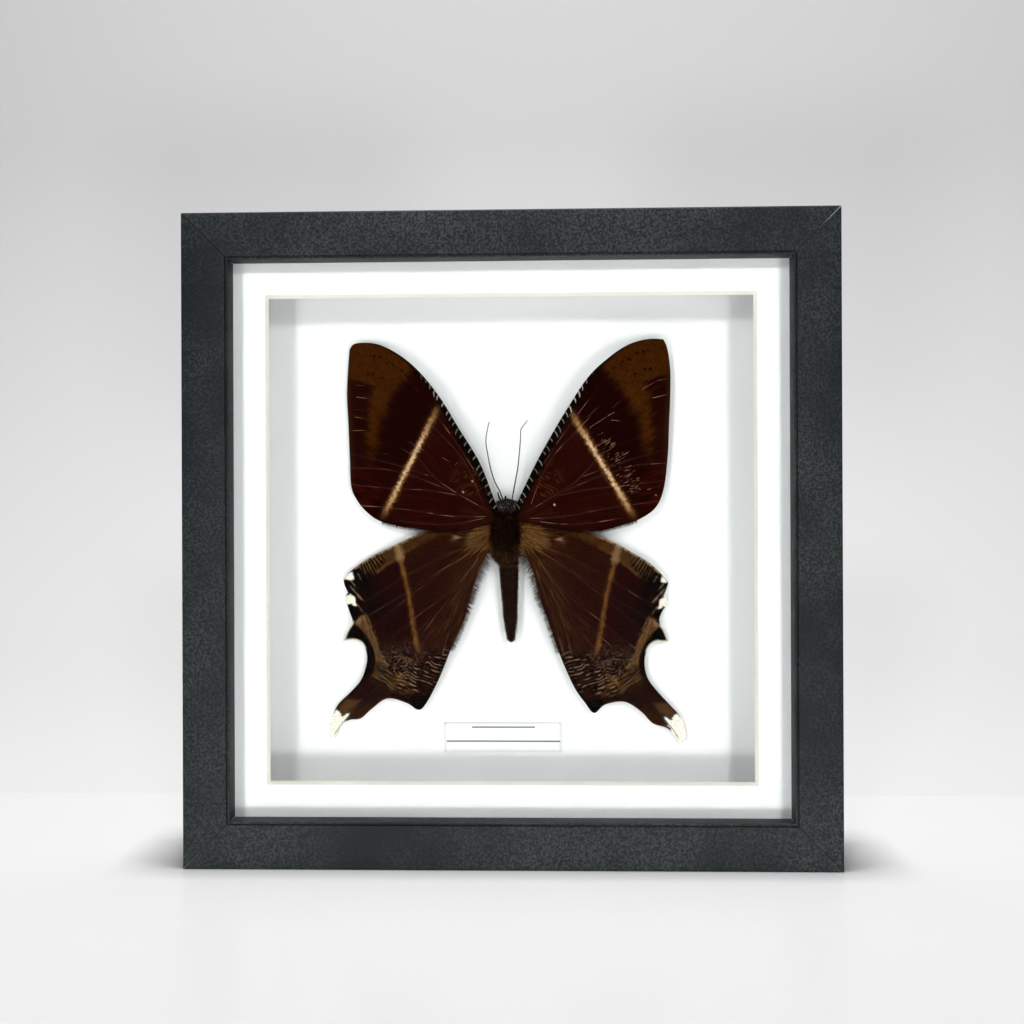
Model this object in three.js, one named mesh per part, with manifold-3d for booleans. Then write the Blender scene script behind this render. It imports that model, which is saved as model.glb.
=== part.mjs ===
// A set moth in a square box frame: mitred moulding, glass, bevelled window mount, spacers,
// specimen board with a label slip, and a back panel held by flat points. Millimetres, +Z up.
// The frame stands on its bottom rail, its front faces -Y, and the origin is under its middle.
import * as THREE from "three";
import { mergeVertices } from "three/addons/utils/BufferGeometryUtils.js";
import Module from "manifold-3d";

const wasm = await Module();
wasm.setup();

// Moulding
const FRAME_SIZE = 228;
const FRAME_DEPTH = 38;
const FACE_WIDTH = 16.4;
const LIP_DEPTH = 7.4;
const REBATE_WIDTH = 4.4;
const OUTER_ROUND = 0.8;
const RIM_WIDTH = 0.6;
const RIM_DROP = 0.35;
const GROOVE_WIDTH = 0.5;
const GROOVE_DEPTH = 0.9;
const MITRE_GAP = 0.2;

// What lies in the rebate, one behind the other
const PANE_SIZE = 203.2;
const FIT_GAP = 0.2;
const GLASS_THICK = 1.8;
const MOUNT_THICK = 1.2;
const MOUNT_WINDOW = 173.6;
const MOUNT_BEVEL = 1.1;
const SPACER_DEPTH = 17.8;
const SPACER_THICK = 6;
const BOARD_THICK = 3;
const PANEL_THICK = 2.5;

// Flat points in the rails, and the sawtooth hanger on the panel
const POINT_LENGTH = 16;
const POINT_WIDTH = 9;
const POINT_THICK = 0.6;
const POINT_DRIVEN = 5;
const POINT_SPACING = 112;
const SLOT_GAP = 0.3;
const HANGER_LENGTH = 44;
const HANGER_HEIGHT = 8;
const HANGER_THICK = 0.8;
const HANGER_RISE = 1.2;
const HANGER_FOOT = 7.5;
const HANGER_RAMP = 2;
const HANGER_FROM_TOP = 38;
const HANGER_TEETH = 13;
const TOOTH_PITCH = 1.9;
const TOOTH_WIDTH = 1.8;
const TOOTH_HEIGHT = 1.6;
const RIVET_SPACING = 35;
const RIVET_HOLE_RADIUS = 1.2;
const RIVET_SHANK_RADIUS = 0.9;
const RIVET_HEAD_RADIUS = 2.2;
const RIVET_HEAD_HEIGHT = 0.7;
const RIVET_SIDES = 12;

// Label
const LABEL_WIDTH = 43.5;
const LABEL_HEIGHT = 11;
const LABEL_THICK = 0.25;
const LABEL_CENTRE = [-3.6, 40.3];

// Moth: x to its right in the picture, y towards the head, z up from the board
const MOTH_CENTRE = [-1.6, 117];
const PIECE_GAP = 0.3;
const WING_THICK = 0.4;
const WING_ROOT_HEIGHT = 8.6;
const WING_LOW_HEIGHT = 1.2;
const WING_GRID = 7;
const WING_HALF_SPAN = 60;
const WING_LIFT_REACH = 50;
const WING_BACK_REACH = 90;
const WING_TUCK_REACH = 20;
const WING_FALL_POWER = 1.8;
const THORAX = { centre: [-0.6, -1.4, 6.2], half: [5.6, 10.2, 4.9] };
const HEAD = { centre: [0, 8.9, 6.6], half: [4.1, 2.7, 3.2] };
const EYE_RADIUS = 1.3;
const EYE_CENTRE = [2.9, 9.5, 6.9];
const ABDOMEN_AXIS = [0.2, 0, 5.6];
const ABDOMEN_LEAN_DEG = 1.6;
const LEG_RADIUS = 0.45;
const PALP_RADIUS = 0.4;
const TONGUE_RADIUS = 0.6;
const ANTENNA_RADIUS = 0.22;

// Depths of the layers, counted back from the front face
const glassFront = LIP_DEPTH + FIT_GAP;
const mountFront = glassFront + GLASS_THICK + FIT_GAP;
const spacerFront = mountFront + MOUNT_THICK + FIT_GAP;
const boardFront = spacerFront + SPACER_DEPTH + FIT_GAP;
const panelFront = boardFront + BOARD_THICK + FIT_GAP;
const panelBack = panelFront + PANEL_THICK;

// The picture group: x right, y up, z towards the viewer, with the front face at half the depth.
const picture = new THREE.Group();
picture.rotation.x = Math.PI / 2;
const frontZ = FRAME_DEPTH / 2;

function finish(color, roughness, metalness = 0) {
  return new THREE.MeshStandardMaterial({ color, roughness, metalness });
}

function place(group, name, geometry, material, x = 0, y = 0, z = 0) {
  const mesh = new THREE.Mesh(geometry, material);
  mesh.name = name;
  mesh.position.set(x, y, z);
  group.add(mesh);
  return mesh;
}

function solidOf(geometry) {
  const bare = geometry.clone();
  bare.deleteAttribute("normal");
  bare.deleteAttribute("uv");
  const merged = mergeVertices(bare, 1e-5);
  return new wasm.Manifold(new wasm.Mesh({
    numProp: 3,
    vertProperties: new Float32Array(merged.attributes.position.array),
    triVerts: new Uint32Array(merged.index.array),
  }));
}

function geometryOf(solid) {
  const mesh = solid.getMesh();
  const geometry = new THREE.BufferGeometry();
  geometry.setAttribute("position", new THREE.BufferAttribute(mesh.vertProperties, 3));
  geometry.setIndex(new THREE.BufferAttribute(mesh.triVerts, 1));
  geometry.computeVertexNormals();
  return geometry;
}

function joined(geometries) {
  const solids = geometries.map(solidOf);
  return solids.reduce((whole, solid) => whole.add(solid));
}

function moveVertices(geometry, mover) {
  const position = geometry.attributes.position;
  const point = new THREE.Vector3();
  for (let i = 0; i < position.count; i += 1) {
    point.fromBufferAttribute(position, i);
    mover(point);
    position.setXYZ(i, point.x, point.y, point.z);
  }
  return geometry;
}

function polygon(points) {
  return new THREE.Shape(points.map(([x, y]) => new THREE.Vector2(x, y)));
}

function ngon(radius, sides) {
  const turn = (2 * Math.PI) / sides;
  const corners = Array.from({ length: sides }, (_, i) => [
    radius * Math.cos(i * turn),
    radius * Math.sin(i * turn),
  ]);
  return polygon(corners);
}

function tube(points, radius, sides, steps) {
  const path = new THREE.CatmullRomCurve3(points.map((point) => new THREE.Vector3(...point)));
  return new THREE.ExtrudeGeometry(ngon(radius, sides), { steps, extrudePath: path });
}

function ellipsoid({ centre, half }, around, rings, grow = 0) {
  const geometry = new THREE.SphereGeometry(1, around, rings);
  geometry.scale(half[0] + grow, half[1] + grow, half[2] + grow);
  geometry.translate(...centre);
  return geometry;
}

// One rail of the moulding. Its section runs inwards along x and back along -y, and its ends are
// cut back as far as each point lies inwards, which makes the mitre.
function railGeometry() {
  const rimStart = FACE_WIDTH - RIM_WIDTH;
  const grooveStart = rimStart - GROOVE_WIDTH;
  const rebateWall = FACE_WIDTH - REBATE_WIDTH;
  const section = new THREE.Shape();
  section.moveTo(0, -FRAME_DEPTH);
  section.lineTo(rebateWall, -FRAME_DEPTH);
  section.lineTo(rebateWall, -LIP_DEPTH);
  section.lineTo(FACE_WIDTH, -LIP_DEPTH);
  section.lineTo(FACE_WIDTH, -RIM_DROP);
  section.lineTo(rimStart, -RIM_DROP);
  section.lineTo(rimStart, -GROOVE_DEPTH);
  section.lineTo(grooveStart, -GROOVE_DEPTH);
  section.lineTo(grooveStart, 0);
  section.lineTo(OUTER_ROUND, 0);
  section.quadraticCurveTo(0, 0, 0, -OUTER_ROUND);
  const geometry = new THREE.ExtrudeGeometry(section, {
    depth: 1,
    curveSegments: 3,
    bevelEnabled: false,
  });
  moveVertices(geometry, (point) => {
    const inwards = point.x;
    const halfLength = FRAME_SIZE / 2 - inwards - MITRE_GAP / 2;
    point.set(
      point.z < 0.5 ? halfLength : -halfLength,
      FRAME_SIZE / 2 - inwards,
      frontZ + point.y,
    );
  });
  const rail = solidOf(geometry);
  return geometryOf(pointSlots().reduce((cut, slot) => cut.subtract(slot), rail));
}

// The slots in a rail's rebate wall that the flat points are driven into.
function pointSlots() {
  const deep = POINT_DRIVEN + SLOT_GAP;
  return [-0.5, 0.5].map((side) => {
    const slot = new THREE.BoxGeometry(
      POINT_WIDTH + 2 * SLOT_GAP,
      2 * deep,
      POINT_THICK + 2 * SLOT_GAP,
    );
    slot.translate(side * POINT_SPACING, rebateHalf(), pointZ());
    return solidOf(slot);
  });
}

function rebateHalf() {
  return FRAME_SIZE / 2 - FACE_WIDTH + REBATE_WIDTH;
}

function pointZ() {
  return frontZ - panelBack - FIT_GAP - POINT_THICK / 2;
}

const sides = { top: 0, left: Math.PI / 2, bottom: Math.PI, right: -Math.PI / 2 };
const rail = railGeometry();
for (const [side, turn] of Object.entries(sides)) {
  const mesh = place(picture, `frame_${side}`, rail, finish(0x2d3234, 0.55), 0, FRAME_SIZE / 2);
  mesh.rotation.z = turn;
}

// Glass, mount, spacers and boards, all centred in the rebate.
function slab(width, height, thick) {
  return new THREE.BoxGeometry(width, height, thick);
}

function layerZ(front, thick) {
  return frontZ - front - thick / 2;
}

function mountGeometry() {
  const half = PANE_SIZE / 2;
  const window = MOUNT_WINDOW / 2;
  const outline = polygon([[-half, -half], [half, -half], [half, half], [-half, half]]);
  outline.holes.push(polygon([[-window, -window], [-window, window], [window, window], [window, -window]]));
  const geometry = new THREE.ExtrudeGeometry(outline, { depth: MOUNT_THICK, bevelEnabled: false });
  geometry.translate(0, 0, -MOUNT_THICK / 2);
  return moveVertices(geometry, (point) => {
    const onWindow = Math.abs(point.x) < half;
    if (onWindow && point.z < 0) {
      point.x -= Math.sign(point.x) * MOUNT_BEVEL;
      point.y -= Math.sign(point.y) * MOUNT_BEVEL;
    }
  });
}

const middle = FRAME_SIZE / 2;
place(picture, "glass", slab(PANE_SIZE, PANE_SIZE, GLASS_THICK), finish(0xeef4f2, 0.03),
  0, middle, layerZ(glassFront, GLASS_THICK));
place(picture, "mount_board", mountGeometry(), finish(0xf6f6f4, 0.9),
  0, middle, layerZ(mountFront, MOUNT_THICK));

const spacerZ = layerZ(spacerFront, SPACER_DEPTH);
const spacerOffset = (PANE_SIZE - SPACER_THICK) / 2;
const innerLength = PANE_SIZE - 2 * SPACER_THICK - 2 * FIT_GAP;
for (const [side, sign] of [["top", 1], ["bottom", -1]]) {
  place(picture, `spacer_${side}`, slab(PANE_SIZE, SPACER_THICK, SPACER_DEPTH), finish(0xf3f3f1, 0.9),
    0, middle + sign * spacerOffset, spacerZ);
}
for (const [side, sign] of [["right", 1], ["left", -1]]) {
  place(picture, `spacer_${side}`, slab(SPACER_THICK, innerLength, SPACER_DEPTH), finish(0xf3f3f1, 0.9),
    sign * spacerOffset, middle, spacerZ);
}

place(picture, "specimen_board", slab(PANE_SIZE, PANE_SIZE, BOARD_THICK), finish(0xfafafa, 0.85),
  0, middle, layerZ(boardFront, BOARD_THICK));

const hangerY = PANE_SIZE / 2 - HANGER_FROM_TOP;

function rivetHole(x, y, deep) {
  const outline = ngon(RIVET_HOLE_RADIUS, RIVET_SIDES);
  const hole = new THREE.ExtrudeGeometry(outline, { depth: deep, bevelEnabled: false });
  hole.translate(x, y, -deep / 2);
  return solidOf(hole);
}

function panelGeometry() {
  const holes = [-0.5, 0.5].map((side) => rivetHole(side * RIVET_SPACING, hangerY, 2 * PANEL_THICK));
  const panel = solidOf(slab(PANE_SIZE, PANE_SIZE, PANEL_THICK));
  return geometryOf(holes.reduce((cut, hole) => cut.subtract(hole), panel));
}

place(picture, "back_panel", panelGeometry(), finish(0x6b4a30, 0.8),
  0, middle, layerZ(panelFront, PANEL_THICK));

// A flat point: a strip with a round free end over the panel and an arrow end in the rail's slot.
function pointGeometry() {
  const half = POINT_WIDTH / 2;
  const free = POINT_LENGTH - POINT_DRIVEN;
  const outline = new THREE.Shape();
  outline.moveTo(half, 0);
  outline.lineTo(0, POINT_DRIVEN);
  outline.lineTo(-half, 0);
  outline.lineTo(-half, half - free);
  outline.absarc(0, half - free, half, Math.PI, 2 * Math.PI, false);
  const geometry = new THREE.ExtrudeGeometry(outline, {
    depth: POINT_THICK,
    curveSegments: 8,
    bevelEnabled: false,
  });
  geometry.translate(0, rebateHalf(), -POINT_THICK / 2);
  return geometry;
}

for (const [side, turn] of Object.entries(sides)) {
  const rim = new THREE.Group();
  rim.position.set(0, middle, pointZ());
  rim.rotation.z = turn;
  picture.add(rim);
  for (const [number, end] of [[1, -0.5], [2, 0.5]]) {
    place(rim, `point_${side}_${number}`, pointGeometry(), finish(0x9a9c9e, 0.4, 0.9), end * POINT_SPACING);
  }
}

// The hanger is a strip bent away from the panel in its middle, with teeth along its lower edge.
// Here z counts back from the panel.
function hangerGeometry() {
  const end = HANGER_LENGTH / 2;
  const foot = end - HANGER_FOOT;
  const raised = foot - HANGER_RAMP;
  const cutDepth = 4 * (HANGER_RISE + HANGER_THICK);
  const under = [[-end, 0], [-foot, 0], [-raised, HANGER_RISE], [raised, HANGER_RISE], [foot, 0], [end, 0]];
  const over = under.map(([x, z]) => [x, z + HANGER_THICK]).reverse();
  const strip = new THREE.ExtrudeGeometry(polygon([...under, ...over]), {
    depth: HANGER_HEIGHT,
    bevelEnabled: false,
  });
  strip.rotateX(Math.PI / 2);
  strip.translate(0, HANGER_HEIGHT / 2, 0);
  const notchRow = Array.from({ length: HANGER_TEETH }, (_, i) => {
    const x = (i - (HANGER_TEETH - 1) / 2) * TOOTH_PITCH;
    const edge = -HANGER_HEIGHT / 2;
    const below = edge - TOOTH_HEIGHT / 2;
    const left = x - TOOTH_WIDTH / 2;
    const right = x + TOOTH_WIDTH / 2;
    const tip = [x, edge + TOOTH_HEIGHT];
    const notch = polygon([[left, below], [right, below], [right, edge], tip, [left, edge]]);
    return solidOf(new THREE.ExtrudeGeometry(notch, { depth: cutDepth, bevelEnabled: false }));
  });
  const holes = [-0.5, 0.5].map((side) => rivetHole(side * RIVET_SPACING, 0, cutDepth));
  return geometryOf([...notchRow, ...holes].reduce((cut, tool) => cut.subtract(tool), solidOf(strip)));
}

function rivetGeometry() {
  const shankEnd = -PANEL_THICK * 0.8;
  const under = HANGER_THICK + FIT_GAP;
  const profile = [
    [0, shankEnd],
    [RIVET_SHANK_RADIUS, shankEnd],
    [RIVET_SHANK_RADIUS, under],
    [RIVET_HEAD_RADIUS, under],
    [RIVET_HEAD_RADIUS * 0.8, under + RIVET_HEAD_HEIGHT * 0.75],
    [0, under + RIVET_HEAD_HEIGHT],
  ];
  const geometry = new THREE.LatheGeometry(profile.map(([r, y]) => new THREE.Vector2(r, y)), RIVET_SIDES);
  geometry.rotateX(Math.PI / 2);
  return geometry;
}

const rear = new THREE.Group();
rear.rotation.y = Math.PI;
rear.position.set(0, middle + hangerY, frontZ - panelBack - FIT_GAP);
picture.add(rear);
place(rear, "hanger", hangerGeometry(), finish(0xb8a06a, 0.35, 0.9));
place(rear, "rivet_right", rivetGeometry(), finish(0xb8a06a, 0.35, 0.9), -RIVET_SPACING / 2);
place(rear, "rivet_left", rivetGeometry(), finish(0xb8a06a, 0.35, 0.9), RIVET_SPACING / 2);

const boardZ = frontZ - boardFront;
place(picture, "label_slip", slab(LABEL_WIDTH, LABEL_HEIGHT, LABEL_THICK), finish(0xfbfbf9, 0.9),
  ...LABEL_CENTRE, boardZ + FIT_GAP + LABEL_THICK / 2);

// The moth lies on the board, head up.
const moth = new THREE.Group();
moth.position.set(...MOTH_CENTRE, boardZ);
picture.add(moth);

// Abdomen, as [radius, y] from its tip to where it is hidden in the thorax.
const ABDOMEN_PROFILE = [
  [0, -41],
  [1, -40.4],
  [1.3, -38],
  [1.9, -34.5],
  [2.3, -31.5],
  [2.4, -27.5],
  [2.75, -22],
  [3.2, -15],
  [3.3, -11],
  [2.6, -7],
  [0, -6],
];

// What stands out in front of the head: one palp on the left and the rolled tongue.
const PALP_ROUTE = [[-1.6, 9.6, 6.4], [-2.7, 11.6, 6.3], [-3.4, 13.8, 6]];
const TONGUE_ROUTE = [[-0.5, 10.4, 6.2], [-0.6, 11.6, 6.2], [-0.5, 12.4, 6]];

// A leg runs from under the thorax out to the knee and folds back in to the foot. Each point is
// outwards from the body's middle, forwards of the leg's root, and up from the board.
const LEG_ROUTE = [[1.8, 0, 2.9], [5.2, 0.8, 2.9], [8.6, 0.4, 2.2], [7, -1.6, 1.3], [4.8, -3, 0.85]];
const LEG_ROOTS = [4, 0, -4];

function legGeometry(root, side) {
  const route = LEG_ROUTE.map(([outwards, forwards, up]) => [side * outwards, root + forwards, up]);
  return tube(route, LEG_RADIUS, 6, 7);
}

function bodySolid() {
  const abdomen = new THREE.LatheGeometry(ABDOMEN_PROFILE.map(([r, y]) => new THREE.Vector2(r, y)), 14);
  abdomen.rotateZ(THREE.MathUtils.degToRad(ABDOMEN_LEAN_DEG));
  abdomen.translate(...ABDOMEN_AXIS);
  const eyes = [-1, 1].map((side) => {
    const eye = new THREE.SphereGeometry(EYE_RADIUS, 10, 7);
    const [outwards, forwards, up] = EYE_CENTRE;
    return eye.translate(side * outwards, forwards, up);
  });
  const legs = LEG_ROOTS.flatMap((root) => [legGeometry(root, -1), legGeometry(root, 1)]);
  const palp = tube(PALP_ROUTE, PALP_RADIUS, 6, 4);
  const tongue = tube(TONGUE_ROUTE, TONGUE_RADIUS, 6, 3);
  return joined([ellipsoid(THORAX, 18, 12), ellipsoid(HEAD, 14, 9), abdomen, ...eyes, ...legs, palp, tongue]);
}

function bodyClearance() {
  return joined([ellipsoid(THORAX, 18, 12, PIECE_GAP), ellipsoid(HEAD, 14, 9, PIECE_GAP)]);
}

place(moth, "moth_body", geometryOf(bodySolid()), finish(0x2a170e, 0.95));

// Wing surfaces: highest at the thorax, falling away outwards and, behind the body, backwards.
// A forewing's front edge is lifted, and a hindwing passes under the forewing's hind edge.
function wingHeight(x, y, { spread, lift = 0, tuck = 0 }) {
  const outwards = (Math.abs(x) / spread) ** WING_FALL_POWER;
  const backwards = (Math.max(-y, 0) / WING_BACK_REACH) ** WING_FALL_POWER;
  const fall = Math.exp(-outwards - backwards);
  const across = Math.min(Math.abs(x) / WING_HALF_SPAN, 1);
  const forwards = Math.min(Math.max(y, 0) / WING_LIFT_REACH, 1);
  const lifted = lift * 4 * across * (1 - across) * forwards;
  const tucked = tuck * Math.exp(Math.min(y, 0) / WING_TUCK_REACH);
  return WING_LOW_HEIGHT + (WING_ROOT_HEIGHT - WING_LOW_HEIGHT) * fall + lifted - tucked;
}

// A wing is cut from a thin curved sheet along its outline and ends short of the body. The outline
// runs through each stretch as a smooth curve, and stretches meet in corners.
function wingGeometry(stretches, form) {
  const outline = new THREE.Shape();
  const [start] = stretches[0];
  outline.moveTo(...start);
  for (const stretch of stretches) {
    outline.splineThru(stretch.slice(1).map(([x, y]) => new THREE.Vector2(x, y)));
  }
  const depth = 3 * WING_ROOT_HEIGHT;
  const cutter = new THREE.ExtrudeGeometry(outline, { depth, curveSegments: 2, bevelEnabled: false });
  cutter.translate(0, 0, -WING_ROOT_HEIGHT);
  const box = new THREE.Box3().setFromBufferAttribute(cutter.attributes.position);
  const size = box.getSize(new THREE.Vector3()).addScalar(WING_THICK);
  const centre = box.getCenter(new THREE.Vector3());
  const sheet = new THREE.BoxGeometry(
    size.x,
    size.y,
    WING_THICK,
    Math.ceil(size.x / WING_GRID),
    Math.ceil(size.y / WING_GRID),
    1,
  );
  sheet.translate(centre.x, centre.y, 0);
  moveVertices(sheet, (point) => {
    point.z += wingHeight(point.x, point.y, form);
  });
  return geometryOf(solidOf(sheet).intersect(solidOf(cutter)).subtract(bodyClearance()));
}

// Outlines from the base along the front edge, the outer edge and the hind edge back to the base.
const FOREWING_LEFT = [
  [[-1, 4], [-3.5, 8.5], [-9.5, 24], [-17, 36.5], [-24, 48], [-31.5, 57.5], [-39, 64], [-46.5, 68],
    [-52.5, 69], [-56.5, 68.5], [-58, 66.5]],
  [[-58, 66.5], [-58.5, 60], [-59, 50], [-58.5, 39], [-58, 26], [-57.5, 16], [-55, 10.5], [-51.5, 6.5],
    [-47, 3.5], [-39.5, 1.5], [-28, 0], [-15.5, 0], [-6.5, 2], [-1, 2]],
];
const FOREWING_RIGHT = [
  [[1, 4], [3.5, 9.5], [10, 23], [15.5, 33], [21.5, 43], [29.5, 55], [37.5, 62.5], [44.5, 67],
    [51.5, 69], [57, 69]],
  [[57, 69], [58.5, 65.5], [59.5, 58], [59.5, 49], [59, 38], [58.5, 27], [57, 15], [54, 8],
    [48.5, 4], [43, 2], [32.5, -0.5], [19, 0.5], [6.5, 3], [1, 2]],
];
const HINDWING_LEFT = [
  [[-1, -1], [-6, -0.5], [-17, 1], [-27.5, 0], [-34, -2], [-41.5, -5.5], [-49, -9], [-55.5, -13],
    [-60, -17], [-60.5, -19.5], [-59, -23]],
  [[-59, -23], [-60, -25], [-58.5, -30], [-57.5, -33.5], [-59.5, -37], [-61, -41]],
  [[-61, -41], [-59, -40.5], [-56, -40.5], [-53.5, -42], [-52, -46], [-52.5, -50.5], [-54.5, -55.5],
    [-58.5, -60], [-63, -64.5], [-65.5, -70], [-66, -73.5], [-65.5, -77]],
  [[-65.5, -77], [-63.5, -76], [-62, -72], [-58.5, -70], [-54.5, -69.5], [-50.5, -66], [-44.5, -62],
    [-37.5, -63.5], [-33, -66], [-30, -63.5], [-25, -54], [-20.5, -43], [-16, -33], [-12, -20],
    [-9, -12.5], [-7, -8.5], [-1, -6]],
];
const HINDWING_RIGHT = [
  [[1, -1], [6, -0.5], [19, 0.5], [31, -1.5], [37.5, -4], [45, -8], [51.5, -12], [55.5, -15.5],
    [58.5, -19], [58.5, -20.5], [57, -24.5]],
  [[57, -24.5], [58.5, -27], [56.5, -30], [55.5, -33.5], [57.5, -37], [59, -41]],
  [[59, -41], [56.5, -41], [54, -41], [51.5, -43], [50, -48], [51, -54], [54.5, -59],
    [59.5, -64.5], [63, -68.5], [65, -74], [65, -77], [63.5, -78.5]],
  [[63.5, -78.5], [62, -77.5], [58.5, -73], [53, -71], [48.5, -66.5], [42.5, -63], [35.5, -64],
    [31.5, -67], [28, -63], [24, -57], [19, -45.5], [16, -36.5], [12, -25], [9.5, -15.5],
    [6, -8.5], [1, -6]],
];

const WINGS = {
  forewing_left: [FOREWING_LEFT, { spread: 46, lift: 2.5 }],
  forewing_right: [FOREWING_RIGHT, { spread: 96, lift: 2.5 }],
  hindwing_left: [HINDWING_LEFT, { spread: 46, tuck: 1 }],
  hindwing_right: [HINDWING_RIGHT, { spread: 60, tuck: 1 }],
};
for (const [name, [stretches, form]] of Object.entries(WINGS)) {
  place(moth, name, wingGeometry(stretches, form), finish(0x26120a, 0.85));
}

// Antennae, from just in front of the head to the tip.
const ANTENNA_LEFT = [[-1.4, 11.5, 8.7], [-2.5, 14, 8.6], [-4.5, 18, 8.2], [-6, 23, 7.6], [-7, 28, 7],
  [-7.6, 32.5, 6.4], [-7, 37, 6], [-6.4, 39.5, 5.8]];
const ANTENNA_RIGHT = [[1.9, 11.5, 8.7], [3, 17, 8.4], [4, 22.5, 7.8], [4.6, 28, 7.1], [5, 33, 6.5],
  [5.2, 36.6, 6.1], [6.5, 38.5, 5.9], [7.5, 40, 5.8]];
place(moth, "antenna_left", tube(ANTENNA_LEFT, ANTENNA_RADIUS, 6, 18), finish(0x120b08, 0.7));
place(moth, "antenna_right", tube(ANTENNA_RIGHT, ANTENNA_RADIUS, 6, 18), finish(0x120b08, 0.7));

// The dab that holds the thorax to the board.
const DAB_PROFILE = [[0, 0], [3, 0], [3.1, 0.35], [2.4, 0.75], [0, 0.85]];
const dab = new THREE.LatheGeometry(DAB_PROFILE.map(([r, y]) => new THREE.Vector2(r, y)), 14);
dab.rotateX(Math.PI / 2);
place(moth, "glue_dab", dab, finish(0xd8cfae, 0.3), THORAX.centre[0], THORAX.centre[1], FIT_GAP);

export default picture;
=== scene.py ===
import math

import bmesh
import bpy
import numpy as np
from mathutils import Matrix, Vector


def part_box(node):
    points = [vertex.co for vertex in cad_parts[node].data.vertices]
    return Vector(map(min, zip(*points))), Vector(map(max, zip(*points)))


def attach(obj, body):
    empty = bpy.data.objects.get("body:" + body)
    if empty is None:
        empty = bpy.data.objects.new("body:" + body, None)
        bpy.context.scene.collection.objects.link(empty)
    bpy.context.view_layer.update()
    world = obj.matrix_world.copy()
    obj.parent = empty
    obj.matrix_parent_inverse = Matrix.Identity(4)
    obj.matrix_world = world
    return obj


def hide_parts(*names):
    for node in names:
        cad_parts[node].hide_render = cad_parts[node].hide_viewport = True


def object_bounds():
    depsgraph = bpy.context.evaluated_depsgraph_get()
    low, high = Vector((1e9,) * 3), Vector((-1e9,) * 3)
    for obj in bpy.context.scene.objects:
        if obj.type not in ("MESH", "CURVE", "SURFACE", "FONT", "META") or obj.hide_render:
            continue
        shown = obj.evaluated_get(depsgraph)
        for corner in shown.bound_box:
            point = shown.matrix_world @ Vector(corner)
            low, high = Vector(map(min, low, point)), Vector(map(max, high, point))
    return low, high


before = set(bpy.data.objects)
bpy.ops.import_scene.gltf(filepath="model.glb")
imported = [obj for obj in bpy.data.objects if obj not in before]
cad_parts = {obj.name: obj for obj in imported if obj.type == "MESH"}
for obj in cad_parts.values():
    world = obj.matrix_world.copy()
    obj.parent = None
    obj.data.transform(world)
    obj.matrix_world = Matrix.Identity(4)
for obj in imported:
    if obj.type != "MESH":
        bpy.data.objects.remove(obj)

cad_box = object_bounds()

# The moulding: four rails of wood wrapped in black grained foil, with a rebate behind the lip and
# a fine groove beside the inner rim. Their ends are cut to a mitre, glued and pinned.
MM = 0.001
FACE_WIDTH = 16.4 * MM
LIP_DEPTH = 7.4 * MM
REBATE_WIDTH = 4.4 * MM
OUTER_ROUND = 0.8 * MM
RIM_WIDTH = 0.6 * MM
RIM_DROP = 0.35 * MM
GROOVE_WIDTH = 0.5 * MM
GROOVE_DEPTH = 0.9 * MM
MITRE_GAP = 0.2 * MM
ARRIS_ROUND = 0.14 * MM
half_side = cad_box[1].x
top = cad_box[1].z
front, rear = cad_box[0].y, cad_box[1].y
middle = Vector((0, 0, top / 2))


def srgb(red, green, blue):
    """A colour as read on a screen, 0 to 255, in the linear values that a shader takes."""
    screen = np.array([red, green, blue]) / 255
    return np.where(screen > 0.04045, ((screen + 0.055) / 1.055) ** 2.4, screen / 12.92)


def new_finish(name):
    """A new material with its node tree and its main shader."""
    finish = bpy.data.materials.new(name)
    finish.use_nodes = True
    tree = finish.node_tree
    return finish, tree, tree.nodes["Principled BSDF"]


def add_node(tree, kind, inputs, **settings):
    """Adds a shader node. Each input is a constant, or another node's output to wire in."""
    made = tree.nodes.new("ShaderNode" + kind)
    for setting, value in settings.items():
        setattr(made, setting, value)
    for socket, value in inputs.items():
        if isinstance(value, bpy.types.NodeSocket):
            tree.links.new(value, made.inputs[socket])
        else:
            made.inputs[socket].default_value = value
    return made


def grain(tree, per_metre, detail=4.0, stretch=(1, 1, 1), lie=None):
    """Cloudy noise, 0 to 1, on Object coordinates or on the given lie of the surface."""
    place = lie or add_node(tree, "TexCoord", {}).outputs["Object"]
    scaled = add_node(tree, "Mapping", {"Vector": place, "Scale": [per_metre * s for s in stretch]})
    noise = add_node(tree, "TexNoise", {"Vector": scaled.outputs[0], "Scale": 1.0, "Detail": detail})
    return noise.outputs[0]


def spread(tree, value, low, high, start=0.35, end=0.65):
    """Stretches noise from its usual range to the range from low to high."""
    inputs = {"Value": value, "From Min": start, "From Max": end, "To Min": low, "To Max": high}
    return add_node(tree, "MapRange", inputs).outputs[0]


def two_tone(tree, share, first, second):
    """Goes from the first colour to the second as share goes from 0 to 1."""
    mixer = add_node(tree, "Mix", {0: share}, data_type="RGBA")
    for socket, colour in ((6, first), (7, second)):
        if isinstance(colour, bpy.types.NodeSocket):
            tree.links.new(colour, mixer.inputs[socket])
        else:
            mixer.inputs[socket].default_value = (*colour, 1)
    return mixer.outputs[2]


def relief(tree, shader, height, depth, strength=1.0):
    """Puts a fine relief of the given depth in metres on the shader."""
    bump = add_node(tree, "Bump", {"Height": height, "Distance": depth, "Strength": strength})
    tree.links.new(bump.outputs[0], shader.inputs["Normal"])


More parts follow.
